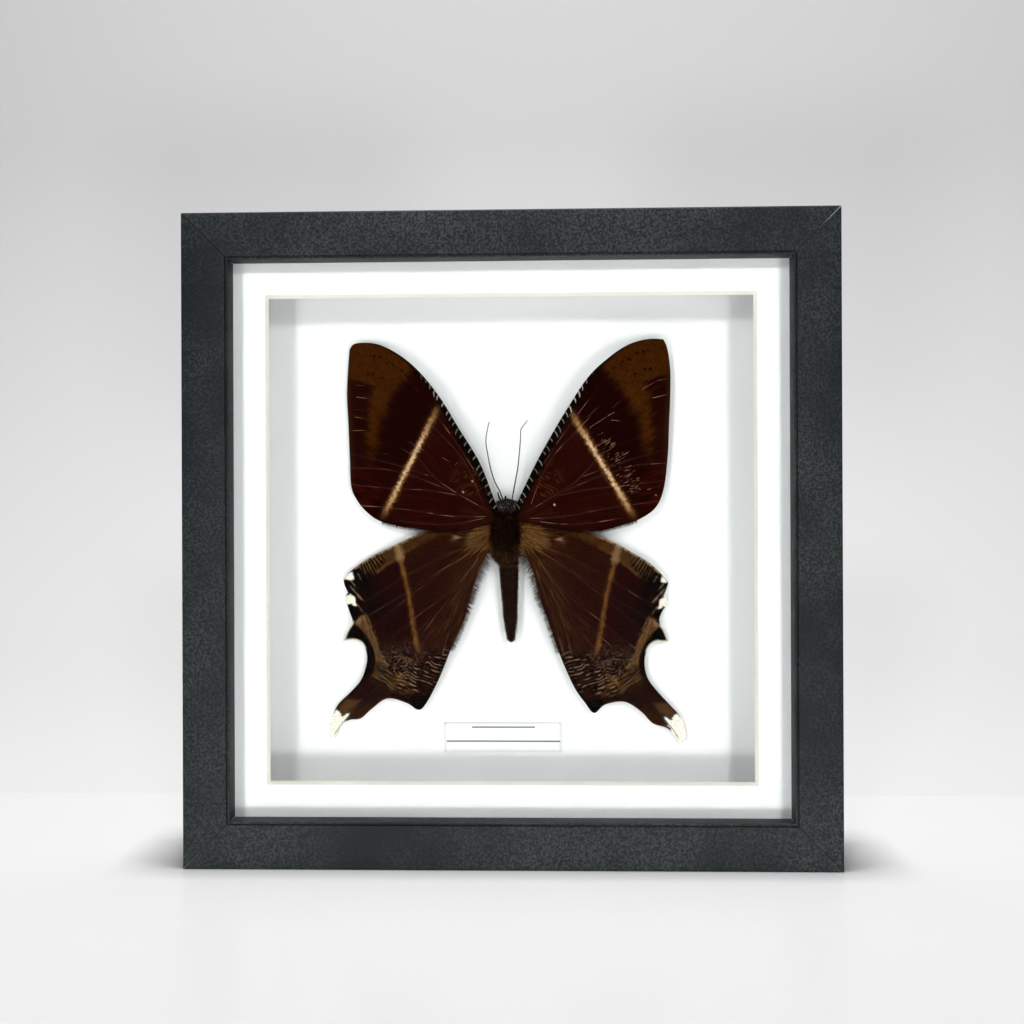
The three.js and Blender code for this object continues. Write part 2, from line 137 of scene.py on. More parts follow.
def new_piece(name, bm, finishes, smooth_angle=40):
    """Makes the finished mesh an object of the scene, shaded smooth up to the given angle."""
    mesh = bpy.data.meshes.new(name)
    bm.to_mesh(mesh)
    bm.free()
    for finish in finishes:
        mesh.materials.append(finish)
    mesh.shade_smooth()
    mesh.set_sharp_from_angle(angle=math.radians(smooth_angle))
    piece = bpy.data.objects.new(name, mesh)
    bpy.context.scene.collection.objects.link(piece)
    return piece


def moulding_rail():
    """The top rail: its section drawn at one end, drawn out, and its ends cut to the mitre."""
    rim_start = FACE_WIDTH - RIM_WIDTH
    groove_start = rim_start - GROOVE_WIDTH
    rebate_wall = FACE_WIDTH - REBATE_WIDTH
    depth = rear - front
    section = [
        (0, 0),
        (groove_start, 0),
        (groove_start, GROOVE_DEPTH),
        (rim_start, GROOVE_DEPTH),
        (rim_start, RIM_DROP),
        (FACE_WIDTH, RIM_DROP),
        (FACE_WIDTH, LIP_DEPTH),
        (rebate_wall, LIP_DEPTH),
        (rebate_wall, depth),
        (0, depth),
    ]
    bm = bmesh.new()
    ring = [bm.verts.new((-half_side, front + back, top - inwards)) for inwards, back in section]
    end = bm.faces.new(ring)
    drawn = bmesh.ops.extrude_face_region(bm, geom=[end], use_keep_orig=True)["geom"]
    far_end = [item for item in drawn if isinstance(item, bmesh.types.BMVert)]
    bmesh.ops.translate(bm, vec=(2 * half_side, 0, 0), verts=far_end)
    for vert in bm.verts:
        vert.co.x -= math.copysign(top - vert.co.z + MITRE_GAP / 2, vert.co.x)
    bmesh.ops.recalc_face_normals(bm, faces=bm.faces)
    lengthwise = [edge for edge in bm.edges if abs(edge.verts[0].co.x - edge.verts[1].co.x) > half_side]
    outer = [edge for edge in lengthwise if edge.verts[0].co.z > top - MM / 10]
    inner = [edge for edge in lengthwise if edge not in outer]
    rounding = {"affect": "EDGES", "segments": 3, "profile": 0.5, "material": -1}
    bmesh.ops.bevel(bm, geom=outer, offset=OUTER_ROUND, **rounding)
    bmesh.ops.bevel(bm, geom=inner, offset=ARRIS_ROUND, **rounding)
    return bm


black_wrap, tree, shader = new_finish("black_wrap")
pores = grain(tree, 1250, 3)
clouds = grain(tree, 26, 3)
flecked = spread(tree, pores, 0.0, 1.0, 0.4, 0.68)
dull_black = two_tone(tree, flecked, srgb(15, 22, 25), srgb(35, 43, 46))
grey_black = two_tone(tree, flecked, srgb(20, 27, 30), srgb(74, 78, 80))
worn = two_tone(tree, spread(tree, clouds, 0.0, 1.0), dull_black, grey_black)
tree.links.new(worn, shader.inputs["Base Color"])
tree.links.new(spread(tree, pores, 0.5, 0.7), shader.inputs["Roughness"])
shader.inputs["Specular IOR Level"].default_value = 0.26
relief(tree, shader, pores, 0.15 * MM, 0.8)

for side, turn in {"top": 0, "right": 90, "bottom": 180, "left": 270}.items():
    bm = moulding_rail()
    turned = Matrix.Rotation(math.radians(turn), 3, "Y")
    bmesh.ops.rotate(bm, cent=middle, matrix=turned, verts=bm.verts)
    rail = new_piece(f"rail_{side}", bm, [black_wrap])
    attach(rail, "root")
    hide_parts(f"frame_{side}")


# The pane: clear float glass with a coating that takes off most of the glare, laid in the rebate
# behind the lip. Lamps shine through it.
CLEAR_IOR = 1.1


def dress(node, finish):
    """Gives one of the frame's own solids its finish."""
    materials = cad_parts[node].data.materials
    materials.clear()
    materials.append(finish)


clear_glass, tree, shader = new_finish("clear_glass")
shader.inputs["Base Color"].default_value = (0.985, 0.995, 0.99, 1)
shader.inputs["Roughness"].default_value = 0.0
shader.inputs["IOR"].default_value = CLEAR_IOR
shader.inputs["Transmission Weight"].default_value = 1.0
shadow_ray = add_node(tree, "LightPath", {}).outputs["Is Shadow Ray"]
see_through = add_node(tree, "BsdfTransparent", {"Color": (0.97, 0.985, 0.98, 1)}).outputs[0]
pane = add_node(tree, "MixShader", {0: shadow_ray, 1: shader.outputs[0], 2: see_through})
tree.links.new(pane.outputs[0], tree.nodes["Material Output"].inputs["Surface"])
dress("glass", clear_glass)


# The window mount: white faced card, cut with a slanting blade so that its cream core shows as a
# narrow bevel round the opening.
MOUNT_WINDOW = 173.6 * MM
MOUNT_BEVEL = 1.1 * MM
mount_low, mount_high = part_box("mount_board")
mount_half = mount_high.x
mount_thick = mount_high.y - mount_low.y


def grained_finish(name, per_metre, detail, dark, pale):
    """A new material whose colour goes from dark to pale in a grain of noise, with that grain."""
    finish, tree, shader = new_finish(name)
    noise = grain(tree, per_metre, detail)
    tone = two_tone(tree, spread(tree, noise, 0.0, 1.0), dark, pale)
    tree.links.new(tone, shader.inputs["Base Color"])
    return finish, tree, shader, noise


def card_finish(name, pale, shade, fibres_per_metre=2600):
    """Matt card: a fine fibre grain that hardly tints it, and a slight tooth."""
    finish, tree, shader, fibres = grained_finish(name, fibres_per_metre, 5, shade, pale)
    shader.inputs["Roughness"].default_value = 0.85
    shader.inputs["Specular IOR Level"].default_value = 0.25
    relief(tree, shader, fibres, 0.03 * MM, 0.4)
    return finish


mount_white = card_finish("mount_white", srgb(247, 248, 248), srgb(241, 242, 242))
mount_core = card_finish("mount_core", srgb(240, 238, 228), srgb(230, 227, 214))
bm = bmesh.new()
upright = Matrix.Rotation(math.pi / 2, 4, "X")
facing_front = Matrix.Translation(middle + Vector((0, mount_low.y, 0))) @ upright
bmesh.ops.create_grid(bm, x_segments=1, y_segments=1, size=mount_half, matrix=facing_front)
opening = list(bm.faces)
bmesh.ops.inset_region(
    bm, faces=opening, thickness=mount_half - MOUNT_WINDOW / 2, use_boundary=True, use_even_offset=True
)
bmesh.ops.delete(bm, geom=opening, context="FACES")
drawn = bmesh.ops.extrude_face_region(bm, geom=bm.faces[:], use_keep_orig=True)["geom"]
behind = [item for item in drawn if isinstance(item, bmesh.types.BMVert)]
bmesh.ops.translate(bm, vec=(0, mount_thick, 0), verts=behind)
window_back = [vert for vert in behind if abs(vert.co.x) < mount_half - MM]
closer = 1 - MOUNT_BEVEL / (MOUNT_WINDOW / 2)
about_middle = Matrix.Translation(-middle)
bmesh.ops.scale(bm, vec=(closer, 1, closer), space=about_middle, verts=window_back)
bmesh.ops.recalc_face_normals(bm, faces=bm.faces)
for face in bm.faces:
    centre = face.calc_center_median() - middle
    on_bevel = max(abs(centre.x), abs(centre.z)) < MOUNT_WINDOW / 2
    face.material_index = 1 if on_bevel else 0
mount = new_piece("window_mount", bm, [mount_white, mount_core])
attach(mount, "root")
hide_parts("mount_board")


# The spacers: strips of white foam-cored board on edge between the mount and the specimen board,
# glued to both, which make the depth of the box.
# The foam is painted mid grey, not white: painted shade. Less light bounces round inside the box, so the
# shadows along the window's edges fall darker.
foam_painted_shade = card_finish("foam_painted_shade", srgb(152, 153, 152), srgb(140, 141, 139), 1400)
for side in ("top", "bottom", "left", "right"):
    dress(f"spacer_{side}", foam_painted_shade)


# The specimen board: smooth white board that carries the moth and its label, lying against the
# back edges of the spacers.
board_white = card_finish("board_white", srgb(252, 252, 252), srgb(249, 249, 249), 1800)
dress("specimen_board", board_white)
board_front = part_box("specimen_board")[0].y


# The label: a slip of white paper with two thin printed rules, glued to the board under the moth.
# Its corners have lifted a little.
LABEL_CURL = 0.16 * MM
LABEL_THICK = 0.14 * MM
RULE_WIDTH = 0.5 * MM
RULES = [(-15.1 * MM, 8.2 * MM, 44.0 * MM), (-24.4 * MM, 17.5 * MM, 38.8 * MM)]
label_low, label_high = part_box("label_slip")
label_middle = (label_low + label_high) / 2
label_half = (label_high - label_low) / 2

label_paper, tree, shader = new_finish("label_paper")
fibres = grain(tree, 2400, 5)
paper = two_tone(tree, spread(tree, fibres, 0.0, 1.0), srgb(246, 246, 245), srgb(250, 250, 249))
place = add_node(tree, "TexCoord", {}).outputs["Object"]
axes = add_node(tree, "SeparateXYZ", {"Vector": place}).outputs
for start, end, height in RULES:
    rule_middle, rule_half = (start + end) / 2, (end - start) / 2
    along = add_node(tree, "Math", {0: axes["X"], 1: rule_middle, 2: rule_half}, operation="COMPARE")
    across = add_node(tree, "Math", {0: axes["Z"], 1: height, 2: RULE_WIDTH / 2}, operation="COMPARE")
    ink = add_node(tree, "Math", {0: along.outputs[0], 1: across.outputs[0]}, operation="MULTIPLY")
    paper = two_tone(tree, ink.outputs[0], paper, srgb(88, 88, 90))
tree.links.new(paper, shader.inputs["Base Color"])
shader.inputs["Roughness"].default_value = 0.8
relief(tree, shader, fibres, 0.02 * MM, 0.4)

bm = bmesh.new()
on_board = Matrix.Translation((label_middle.x, board_front - LABEL_THICK, label_middle.z))
facing = on_board @ upright @ Matrix.Diagonal((label_half.x, label_half.z, 1, 1))
bmesh.ops.create_grid(bm, x_segments=24, y_segments=8, size=1, matrix=facing)
for vert in bm.verts:
    away = abs(vert.co.x - label_middle.x) / label_half.x
    vert.co.y -= LABEL_CURL * away**6
slip = new_piece("label", bm, [label_paper])
thickness = slip.modifiers.new("paper", "SOLIDIFY")
thickness.thickness = LABEL_THICK
thickness.offset = -1
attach(slip, "root")
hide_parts("label_slip")


# The forewings: dry membranes on raised veins, covered in coloured scales. They were spread and
# dried flat, so they stand highest at the body and droop towards their tips.
MOTH_X = -1.6
MOTH_Z = 117.0
WING_THICK = 0.24 * MM
SCALE_GRID = 0.25
VEIN_RIDGE = 0.16
VEIN_WIDTH = 0.32
LIE_FAN = 30.0
WING_LOW = 1.2
WING_RISE = 7.4
WING_SPAN = 60
FORE_REACH = 50
REAR_REACH = 90
TUCK_REACH = 20
DROOP_POWER = 1.8


def on_moth(x, y, height):
    """Places in the scene of points in the moth's own millimetres, height above the board."""
    return np.stack([(MOTH_X + x) * MM, board_front - height * MM, (MOTH_Z + y) * MM], axis=-1)


def fade(value, start, end):
    """Goes smoothly from 0 at start to 1 at end."""
    share = np.clip((value - start) / (end - start), 0, 1)
    return share * share * (3 - 2 * share)


def mottle(x, y, size, seed):
    """Smooth random patches from 0 to 1, about as wide as size."""
    lattice = np.random.default_rng(seed).random((61, 67))
    column, row = np.floor(x / size).astype(int), np.floor(y / size).astype(int)
    right, up = fade(x / size - column, 0, 1), fade(y / size - row, 0, 1)

    def corner(step_x, step_y):
        return lattice[(column + step_x) % 61, (row + step_y) % 67]

    low = corner(0, 0) + right * (corner(1, 0) - corner(0, 0))
    high = corner(0, 1) + right * (corner(1, 1) - corner(0, 1))
    return low + up * (high - low)


def nearest(x, y, route):
    """The distance from each point to a route of straight stretches, and how far along it that is."""
    away = np.full(len(x), np.inf)
    along = np.zeros(len(x))
    passed = 0.0
    for (start_x, start_y), (end_x, end_y) in zip(route, route[1:]):
        length = math.hypot(end_x - start_x, end_y - start_y)
        ahead = np.array([end_x - start_x, end_y - start_y]) / max(length, 1e-9)
        reach = np.clip((x - start_x) * ahead[0] + (y - start_y) * ahead[1], 0, length)
        gap = np.hypot(x - start_x - reach * ahead[0], y - start_y - reach * ahead[1])
        closer = gap < away
        away = np.where(closer, gap, away)
        along = np.where(closer, passed + reach, along)
        passed += length
    return away, along


def smooth_route(points, spacing):
    """A smooth curve through given points, as points about spacing apart."""
    points = [np.array(point, float) for point in points]
    drawn = []
    for i in range(len(points) - 1):
        here, there = points[i], points[i + 1]
        leave = (there - points[max(i - 1, 0)]) / 2
        arrive = (points[min(i + 2, len(points) - 1)] - here) / 2
        steps = max(int(np.linalg.norm(there - here) / spacing), 1)
        for t in np.arange(steps) / steps:
            cubic = (2 * here - 2 * there + leave + arrive) * t**3
            square = (3 * there - 3 * here - 2 * leave - arrive) * t**2
            drawn.append(cubic + square + leave * t + here)
    return drawn + [points[-1]]


class ScaleCoat:
    """The coloured scales of one wing, laid on in layers. Out is away from the body and fore is
    towards the head, in millimetres of the left wing, onto which the right one is matched."""

    def __init__(self, out, fore, ground, root):
        self.out, self.fore = out, fore
        self.tint = np.tile(ground, (len(out), 1))
        self.reach = np.hypot(out - root[0], fore - root[1])
        self.turn = np.arctan2(fore - root[1], out - root[0]) * LIE_FAN
        self.fuzz = mottle(out, fore, 0.7, 1)
        self.streaks = mottle(self.turn, self.reach / 9, 0.45, 2)

    def lay(self, share, colour):
        """Covers the points with a colour, each by its share."""
        self.tint += np.clip(share, 0, 1)[:, None] * (colour - self.tint)

    def stroke(self, route, half_width, colour, strength=1.0, soft=0.5, ragged=0.0):
        """Lays a colour along a route. A ragged edge wanders by that many millimetres."""
        away, _ = nearest(self.out, self.fore, route)
        away = away + ragged * (self.fuzz - 0.5)
        self.lay(strength * fade(away, half_width + soft / 2, half_width - soft / 2), colour)

    def patch(self, outline, colour, strength=1.0, soft=0.5, ragged=0.0):
        """Lays a colour inside an outline."""
        outline = outline + outline[:1]
        away, _ = nearest(self.out, self.fore, outline)
        inside = np.zeros(len(away), bool)
        for (x, y), (next_x, next_y) in zip(outline, outline[1:]):
            passes = (y > self.fore) != (next_y > self.fore)
            slope = (next_x - x) / (next_y - y + 1e-9)
            inside ^= passes & (self.out < x + (self.fore - y) * slope)
        depth = np.where(inside, away, -away) + ragged * (self.fuzz - 0.5)
        self.lay(strength * fade(depth, -soft / 2, soft / 2), colour)

    def dot(self, centre, radius, colour, strength=1.0, soft=0.4, ragged=0.0):
        """Lays a round spot."""
        self.stroke([centre, (centre[0] + 1e-3, centre[1])], radius, colour, strength, soft, ragged)


def wing_height(x, y, form):
    """How far a wing stands above the board: highest at the body, drooping outwards."""
    along = np.minimum(np.abs(x) / WING_SPAN, 1)
    outwards = (np.abs(x) / form["spread"]) ** DROOP_POWER
    rearwards = (np.maximum(-y, 0) / REAR_REACH) ** DROOP_POWER
    droop = np.exp(-outwards - rearwards)
    lift = form["lift"] * 4 * along * (1 - along) * np.clip(y / FORE_REACH, 0, 1)
    tuck = form["tuck"] * np.exp(np.minimum(y, 0) / TUCK_REACH)
    return WING_LOW + WING_RISE * droop + lift - tuck


def cut_sheet(outline):
    """A flat sheet of the outline, cut into fine squares by planes across it both ways."""
    bm = bmesh.new()
    sheet = bm.faces.new([bm.verts.new((x, y, 0)) for x, y in outline])
    sheet.normal_update()
    if sheet.normal.z < 0:
        sheet.normal_flip()
    for axis in (0, 1):
        ahead = Vector((1, 0, 0) if axis == 0 else (0, 1, 0))
        low = min(vert.co[axis] for vert in bm.verts)
        high = max(vert.co[axis] for vert in bm.verts)
        rest = list(bm.faces)
        for place in np.arange(low + SCALE_GRID, high, SCALE_GRID):
            edges = {edge for face in rest for edge in face.edges}
            verts = {vert for face in rest for vert in face.verts}
            cut = bmesh.ops.bisect_plane(
                bm, geom=[*verts, *edges, *rest], dist=1e-6, plane_co=ahead * place, plane_no=ahead
            )
            faces = [item for item in cut["geom"] if isinstance(item, bmesh.types.BMFace)]
            rest = [face for face in faces if face.calc_center_median()[axis] > place]
    return bm


def matched(out, fore, marks, other_marks):
    """Carries points of one wing onto another by the marks that both have."""
    own = np.column_stack([marks, np.ones(len(marks))])
    carry = np.linalg.lstsq(own, np.array(other_marks), rcond=None)[0]
    return (np.column_stack([out, fore, np.ones(len(out))]) @ carry).T


def wing_scales_finish():
    """Rows of matt scales over a thin membrane, their colour painted on the wing's points."""
    finish, tree, shader = new_finish("wing_scales")
    painted = add_node(tree, "Attribute", {}, attribute_name="scales").outputs["Color"]
    lie = add_node(tree, "Attribute", {}, attribute_name="lie").outputs["Vector"]
    rows = grain(tree, 1.0, 3, (1.6, 5.0, 1), lie)
    dust = grain(tree, 3000, 2)
    dusted = {0: spread(tree, rows, 0.75, 1.2), 1: spread(tree, dust, 0.9, 1.1)}
    shade = add_node(tree, "Math", dusted, operation="MULTIPLY")
    tinted = add_node(tree, "VectorMath", {0: painted, "Scale": shade.outputs[0]}, operation="SCALE")
    tree.links.new(tinted.outputs[0], shader.inputs["Base Color"])
    shader.inputs["Roughness"].default_value = 0.75
    shader.inputs["Specular IOR Level"].default_value = 0.01
    relief(tree, shader, rows, 0.03 * MM, 0.4)
    return finish


def set_wing(name, stretches, form, side, marks, left_marks, root, veins, ground, paint):
    """Cuts one wing, raises its veins, paints its scales and sets it at its height."""
    drawn = [smooth_route(stretch, 0.45) for stretch in stretches]
    outline = [point for stretch in drawn for point in stretch[:-1]] + [drawn[-1][-1]]
    bm = cut_sheet(outline)
    x, y = np.array([vert.co[:2] for vert in bm.verts]).T
    out, fore = matched(side * x, y, marks, left_marks)
    coat = ScaleCoat(out, fore, ground, root)
    ridge = np.zeros(len(x))
    vein_away = []
    for route in veins:
        away, along = nearest(out, fore, smooth_route(route, 1.0))
        vein_away.append((away, along))
        ridge = np.maximum(ridge, np.exp(-((away / VEIN_WIDTH) ** 2)))
    edges = [nearest(x, y, route) for route in drawn]
    paint(coat, edges, vein_away, side)
    height = wing_height(x, y, form) + VEIN_RIDGE * ridge
    for vert, place in zip(bm.verts, on_moth(x, y, height)):
        vert.co = place
    wing = new_piece(name, bm, [wing_scales], 70)
    scales = wing.data.color_attributes.new("scales", "FLOAT_COLOR", "POINT")
    scales.data.foreach_set("color", np.column_stack([coat.tint, np.ones(len(x))]).ravel())
    lie = wing.data.attributes.new("lie", "FLOAT_VECTOR", "POINT")
    lie.data.foreach_set("vector", np.column_stack([coat.reach, coat.turn, np.zeros(len(x))]).ravel())
    membrane = wing.modifiers.new("membrane", "SOLIDIFY")
    membrane.thickness = WING_THICK
    membrane.offset = -1
    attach(wing, "root")
    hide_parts(name)
    return drawn


wing_scales = wing_scales_finish()
FOREWINGS = {
    "left": {
        "spread": 46,
        "lift": 2.5,
        "tuck": 0,
        "costa": [
            (-1, 4), (-3.5, 8.5), (-9.5, 24), (-17, 36.5), (-24, 48), (-31.5, 57.5), (-39, 64), (-46.5, 68),
            (-52.5, 69), (-56.5, 68.5), (-58, 66.5),
        ],
        "margin": [
            (-58, 66.5), (-58.5, 60), (-59, 50), (-58.5, 39), (-58, 26), (-57.5, 16), (-55, 10.5),
            (-51.5, 6.5), (-47, 3.5), (-39.5, 1.5), (-28, 0), (-15.5, 0), (-6.5, 2), (-1, 2),
        ],
        "marks": [(6, 6.5), (24.75, 45), (45.75, 4.75), (57, 68)],
    },
    "right": {
        "spread": 96,
        "lift": 2.5,
        "tuck": 0,
        "costa": [
            (1, 4), (3.5, 9.5), (10, 23), (15.5, 33), (21.5, 43), (29.5, 55), (37.5, 62.5), (44.5, 67),
            (51.5, 69), (57, 69),
        ],
        "margin": [
            (57, 69), (58.5, 65.5), (59.5, 58), (59.5, 49), (59, 38), (58.5, 27), (57, 15), (54, 8),
            (48.5, 4), (43, 2), (32.5, -0.5), (19, 0.5), (6.5, 3), (1, 2),
        ],
        "marks": [(6.5, 6.5), (23.75, 43.5), (47.5, 5.25), (59, 69.5)],
    },
}
FOREWING_ROOT = (4.0, 4.0)
FOREWING_VEINS = {
    "subcosta": [(5, 10), (13.5, 24.5), (23, 38.5), (35, 54), (42.5, 62)],
    "radius": [(8.5, 9), (15, 24.5), (24.5, 35.5), (34.5, 45.5), (42, 54), (49.5, 61.5)],
    "radius fork": [(24.5, 34.5), (29.5, 36.5), (41.5, 47.5), (54, 58.5)],
    "median 1": [(28, 33), (40, 42.5), (48.5, 48), (57.5, 53)],
    "median 2": [(29, 28.5), (41.5, 35.5), (51.5, 40.5), (58, 44.5)],
    "median 3": [(30.5, 25), (38.5, 30), (47.5, 33), (58, 36)],
    "cubital 1": [(26, 19), (34.5, 22), (42.5, 24.5), (58, 28.5)],
    "cubital 2": [(19.5, 14), (29.5, 18), (35.5, 20), (45, 22.5), (58, 23)],
    "cubital 3": [(16.5, 12.5), (28.5, 14.5), (36, 15), (49.5, 16), (58, 17)],
    "cubitus": [(6, 6.5), (8.5, 8), (19, 14), (26, 19), (31.5, 25.5)],
    "anal 1": [(7, 5), (19.5, 5), (36, 7.5), (46, 8.5), (54, 9.5)],
    "anal 2": [(7.5, 4.5), (12, 3.5), (24.5, 2), (39.5, 3.5)],
}
FOREWING_BAND = {-1: [(25, 44.25), (45.75, 4.75)], 1: [(23.3, 43), (44.2, 3.6)]}
TONGUE_INNER = [(22, 49), (27, 48.3), (32, 47.5), (40, 45.7), (47.5, 42.7), (56, 36), (60, 33.5), (70, 28)]
TONGUE_OUTER = [(20, 51), (29.5, 52), (39, 51.6), (45.7, 51.6), (53, 49.7), (56, 58), (60, 64), (70, 70)]
APEX_SPOTS = [
    (55.25, 64.75), (50, 64.5), (48.75, 64), (46.5, 63.5), (43.75, 61.25), (41.25, 60.5), (38, 58.25),
    (50.75, 57.5), (48.75, 57.5), (45.25, 55.75), (43.75, 54.5),
]
WHITE_DOTS = {-1: [(15.8, 13.8), (12.5, 17.8)], 1: [(51.8, 11.4), (17, 9.5)]}


def bareness(out, fore):
    """How far the scales are rubbed off the veins: most within the pale band, least at the apex."""
    within = fade(out + 0.53 * (fore - 44.25), 27, 24)
    return 0.15 + 0.85 * np.maximum(within, fade(fore, 32, 22))


def paint_forewing(coat, edges, veins, side):
    """Maroon brown with a tawny apex and tongue, a pale straight band, thin broken veins and a black
    costa with pale hooks. The two sides are worn in different places."""
    out, fore = coat.out, coat.fore
    costa_away, costa_along = edges[0]
    margin_away = edges[1][0]
    (start_x, start_y), (end_x, end_y) = FOREWING_BAND[side]
    length = math.hypot(end_x - start_x, end_y - start_y)
    ahead = ((end_x - start_x) / length, (end_y - start_y) / length)
    beyond = -(out - start_x) * ahead[1] + (fore - start_y) * ahead[0]
    down_band = (out - start_x) * ahead[0] + (fore - start_y) * ahead[1]
    feather = coat.streaks - 0.5

    basal = fade(beyond, 0, -6)
    coat.lay(0.85 * basal, srgb(28, 2, 1))
    coat.lay(0.4 * basal * fade(coat.streaks, 0.35, 0.8), srgb(36, 7, 2))
    coat.lay(0.1 * basal * fade(coat.streaks, 0.68, 0.88), srgb(62, 32, 16))
    waves = np.sin(2 * math.pi * (coat.reach + 1.8 * mottle(out, fore, 3, 5)) / 1.25)
    broken = fade(mottle(out, fore, 1.5, 4), 0.35, 0.7)
    costal_base = fade(np.hypot(out - 13.5, fore - 18.5), 9, 3)
    coat.lay(0.5 * costal_base * broken * fade(waves, -0.2, 0.9), srgb(80, 46, 18))
    hind_base = fade(np.hypot(out - 10, fore - 3.5), 9, 2)
    coat.lay(0.4 * hind_base * fade(coat.streaks, 0.2, 0.7), srgb(52, 27, 10))
    coat.lay(fade(beyond, 0.5, 4), srgb(20, 1, 0))

    wander = 1.6 * (mottle(out, fore, 3.0, 6) - 0.5) + 2.4 * feather
    inner = np.interp(fore, *np.array(TONGUE_INNER).T) + wander
    outer = np.interp(fore, *np.array(TONGUE_OUTER).T) - wander
    tongue = fade(out, inner - 2.4, inner + 2.8) * fade(out, outer + 1.8, outer - 2.2) * fade(fore, 18, 34)
    tawny = np.where((coat.fuzz > 0.5)[:, None], srgb(54, 26, 2), srgb(48, 21, 1))
    coat.lay(tongue, tawny)
    patches = fade(out, outer - 1.6, outer + 2.2) * fade(fore + 7 * feather, 60, 51) * fade(fore, 12, 26)
    coat.lay(0.9 * patches, srgb(28, 4, 2))
    coat.lay(0.55 * fade(margin_away, 2.4, 0.4) * fade(fore + 8 * feather, 12, 22), srgb(52, 27, 7))
    lower_margin = fade(beyond, 2, 7) * fade(fore, 26, 16)
    coat.lay(0.75 * lower_margin * fade(coat.streaks, 0.2, 0.7), srgb(44, 6, 1))

    hatch = 0.64 + 0.36 * fade(mottle(down_band, 0.25 * beyond, 0.42, 7), 0.2, 0.8)
    ends = fade(down_band, -2, 5) * fade(down_band, length + 1.5, length - 6)
    off_line = np.abs(beyond) + 0.8 * (coat.fuzz - 0.5)
    middle_share = fade(np.abs(down_band / length - 0.52), 0.48, 0.12)
    coat.lay(0.85 * ends * hatch * fade(off_line, 2.1, 0.6), srgb(94, 59, 22))
    coat.lay(0.8 * ends * hatch * fade(off_line, 1.3, 0.35), srgb(142, 104, 62))
    coat.lay(ends * middle_share * hatch * fade(off_line, 0.85, 0.2), srgb(206, 172, 134))

    for away, along in veins:
        coat.lay(0.1 * bareness(out, fore) * fade(along, 0, 3) * fade(away, 0.3, 0.1), srgb(110, 78, 66))

    rng = np.random.default_rng(21 + side)
    bars = 3 + np.cumsum(rng.uniform(2.2, 3.7, 22))
    strip_width = np.interp(costa_along, [0, 6, 30, 47, 57, 70, 84], [2.0, 2.9, 3.4, 2.3, 1.4, 0.7, 0.3])
    from_bar = np.abs(costa_along[:, None] - bars).min(axis=1)
    scallop = strip_width * (0.74 + 0.26 * fade(from_bar, 0.1, 1.3))
    strip = fade(costa_away, scallop + 0.3, scallop - 0.3) * fade(costa_along, 86, 70)
    coat.lay(0.97 * strip, srgb(6, 3, 2))
    line = fade(margin_away, 0.45, 0.15) + fade(costa_away, 0.5, 0.2)
    coat.lay(0.85 * line, srgb(10, 3, 2))
    for centre in bars:
        bright = fade(abs(centre - 50), 10, 3)
        strength = (rng.uniform(0.2, 0.5) + 0.45 * bright) * fade(centre, 66, 57)
        hook = costa_along - centre + 2.2 * (costa_away / strip_width) ** 2
        depth = rng.uniform(0.5, 0.95) * strip_width
        across = fade(np.abs(hook), 0.26 + 0.14 * bright, 0.06) * fade(costa_away, depth, 0.8 * depth)
        coat.lay(strength * across, srgb(198, 190, 178))

    for spot in APEX_SPOTS:
        coat.dot(spot, 0.42, srgb(16, 3, 1), 0.92, 0.4, 0.6)
    for spot in WHITE_DOTS[side]:
        coat.dot(spot, 0.24, srgb(212, 192, 178), 0.8, 0.35, 0.3)


forewing_edges = {}
for side_name, wing in FOREWINGS.items():
    forewing_edges[side_name] = set_wing(
        f"forewing_{side_name}",
        [wing["costa"], wing["margin"]],
        wing,
        -1 if side_name == "left" else 1,
        wing["marks"],
        FOREWINGS["left"]["marks"],
        FOREWING_ROOT,
        FOREWING_VEINS.values(),
        srgb(31, 6, 2),
        paint_forewing,
    )


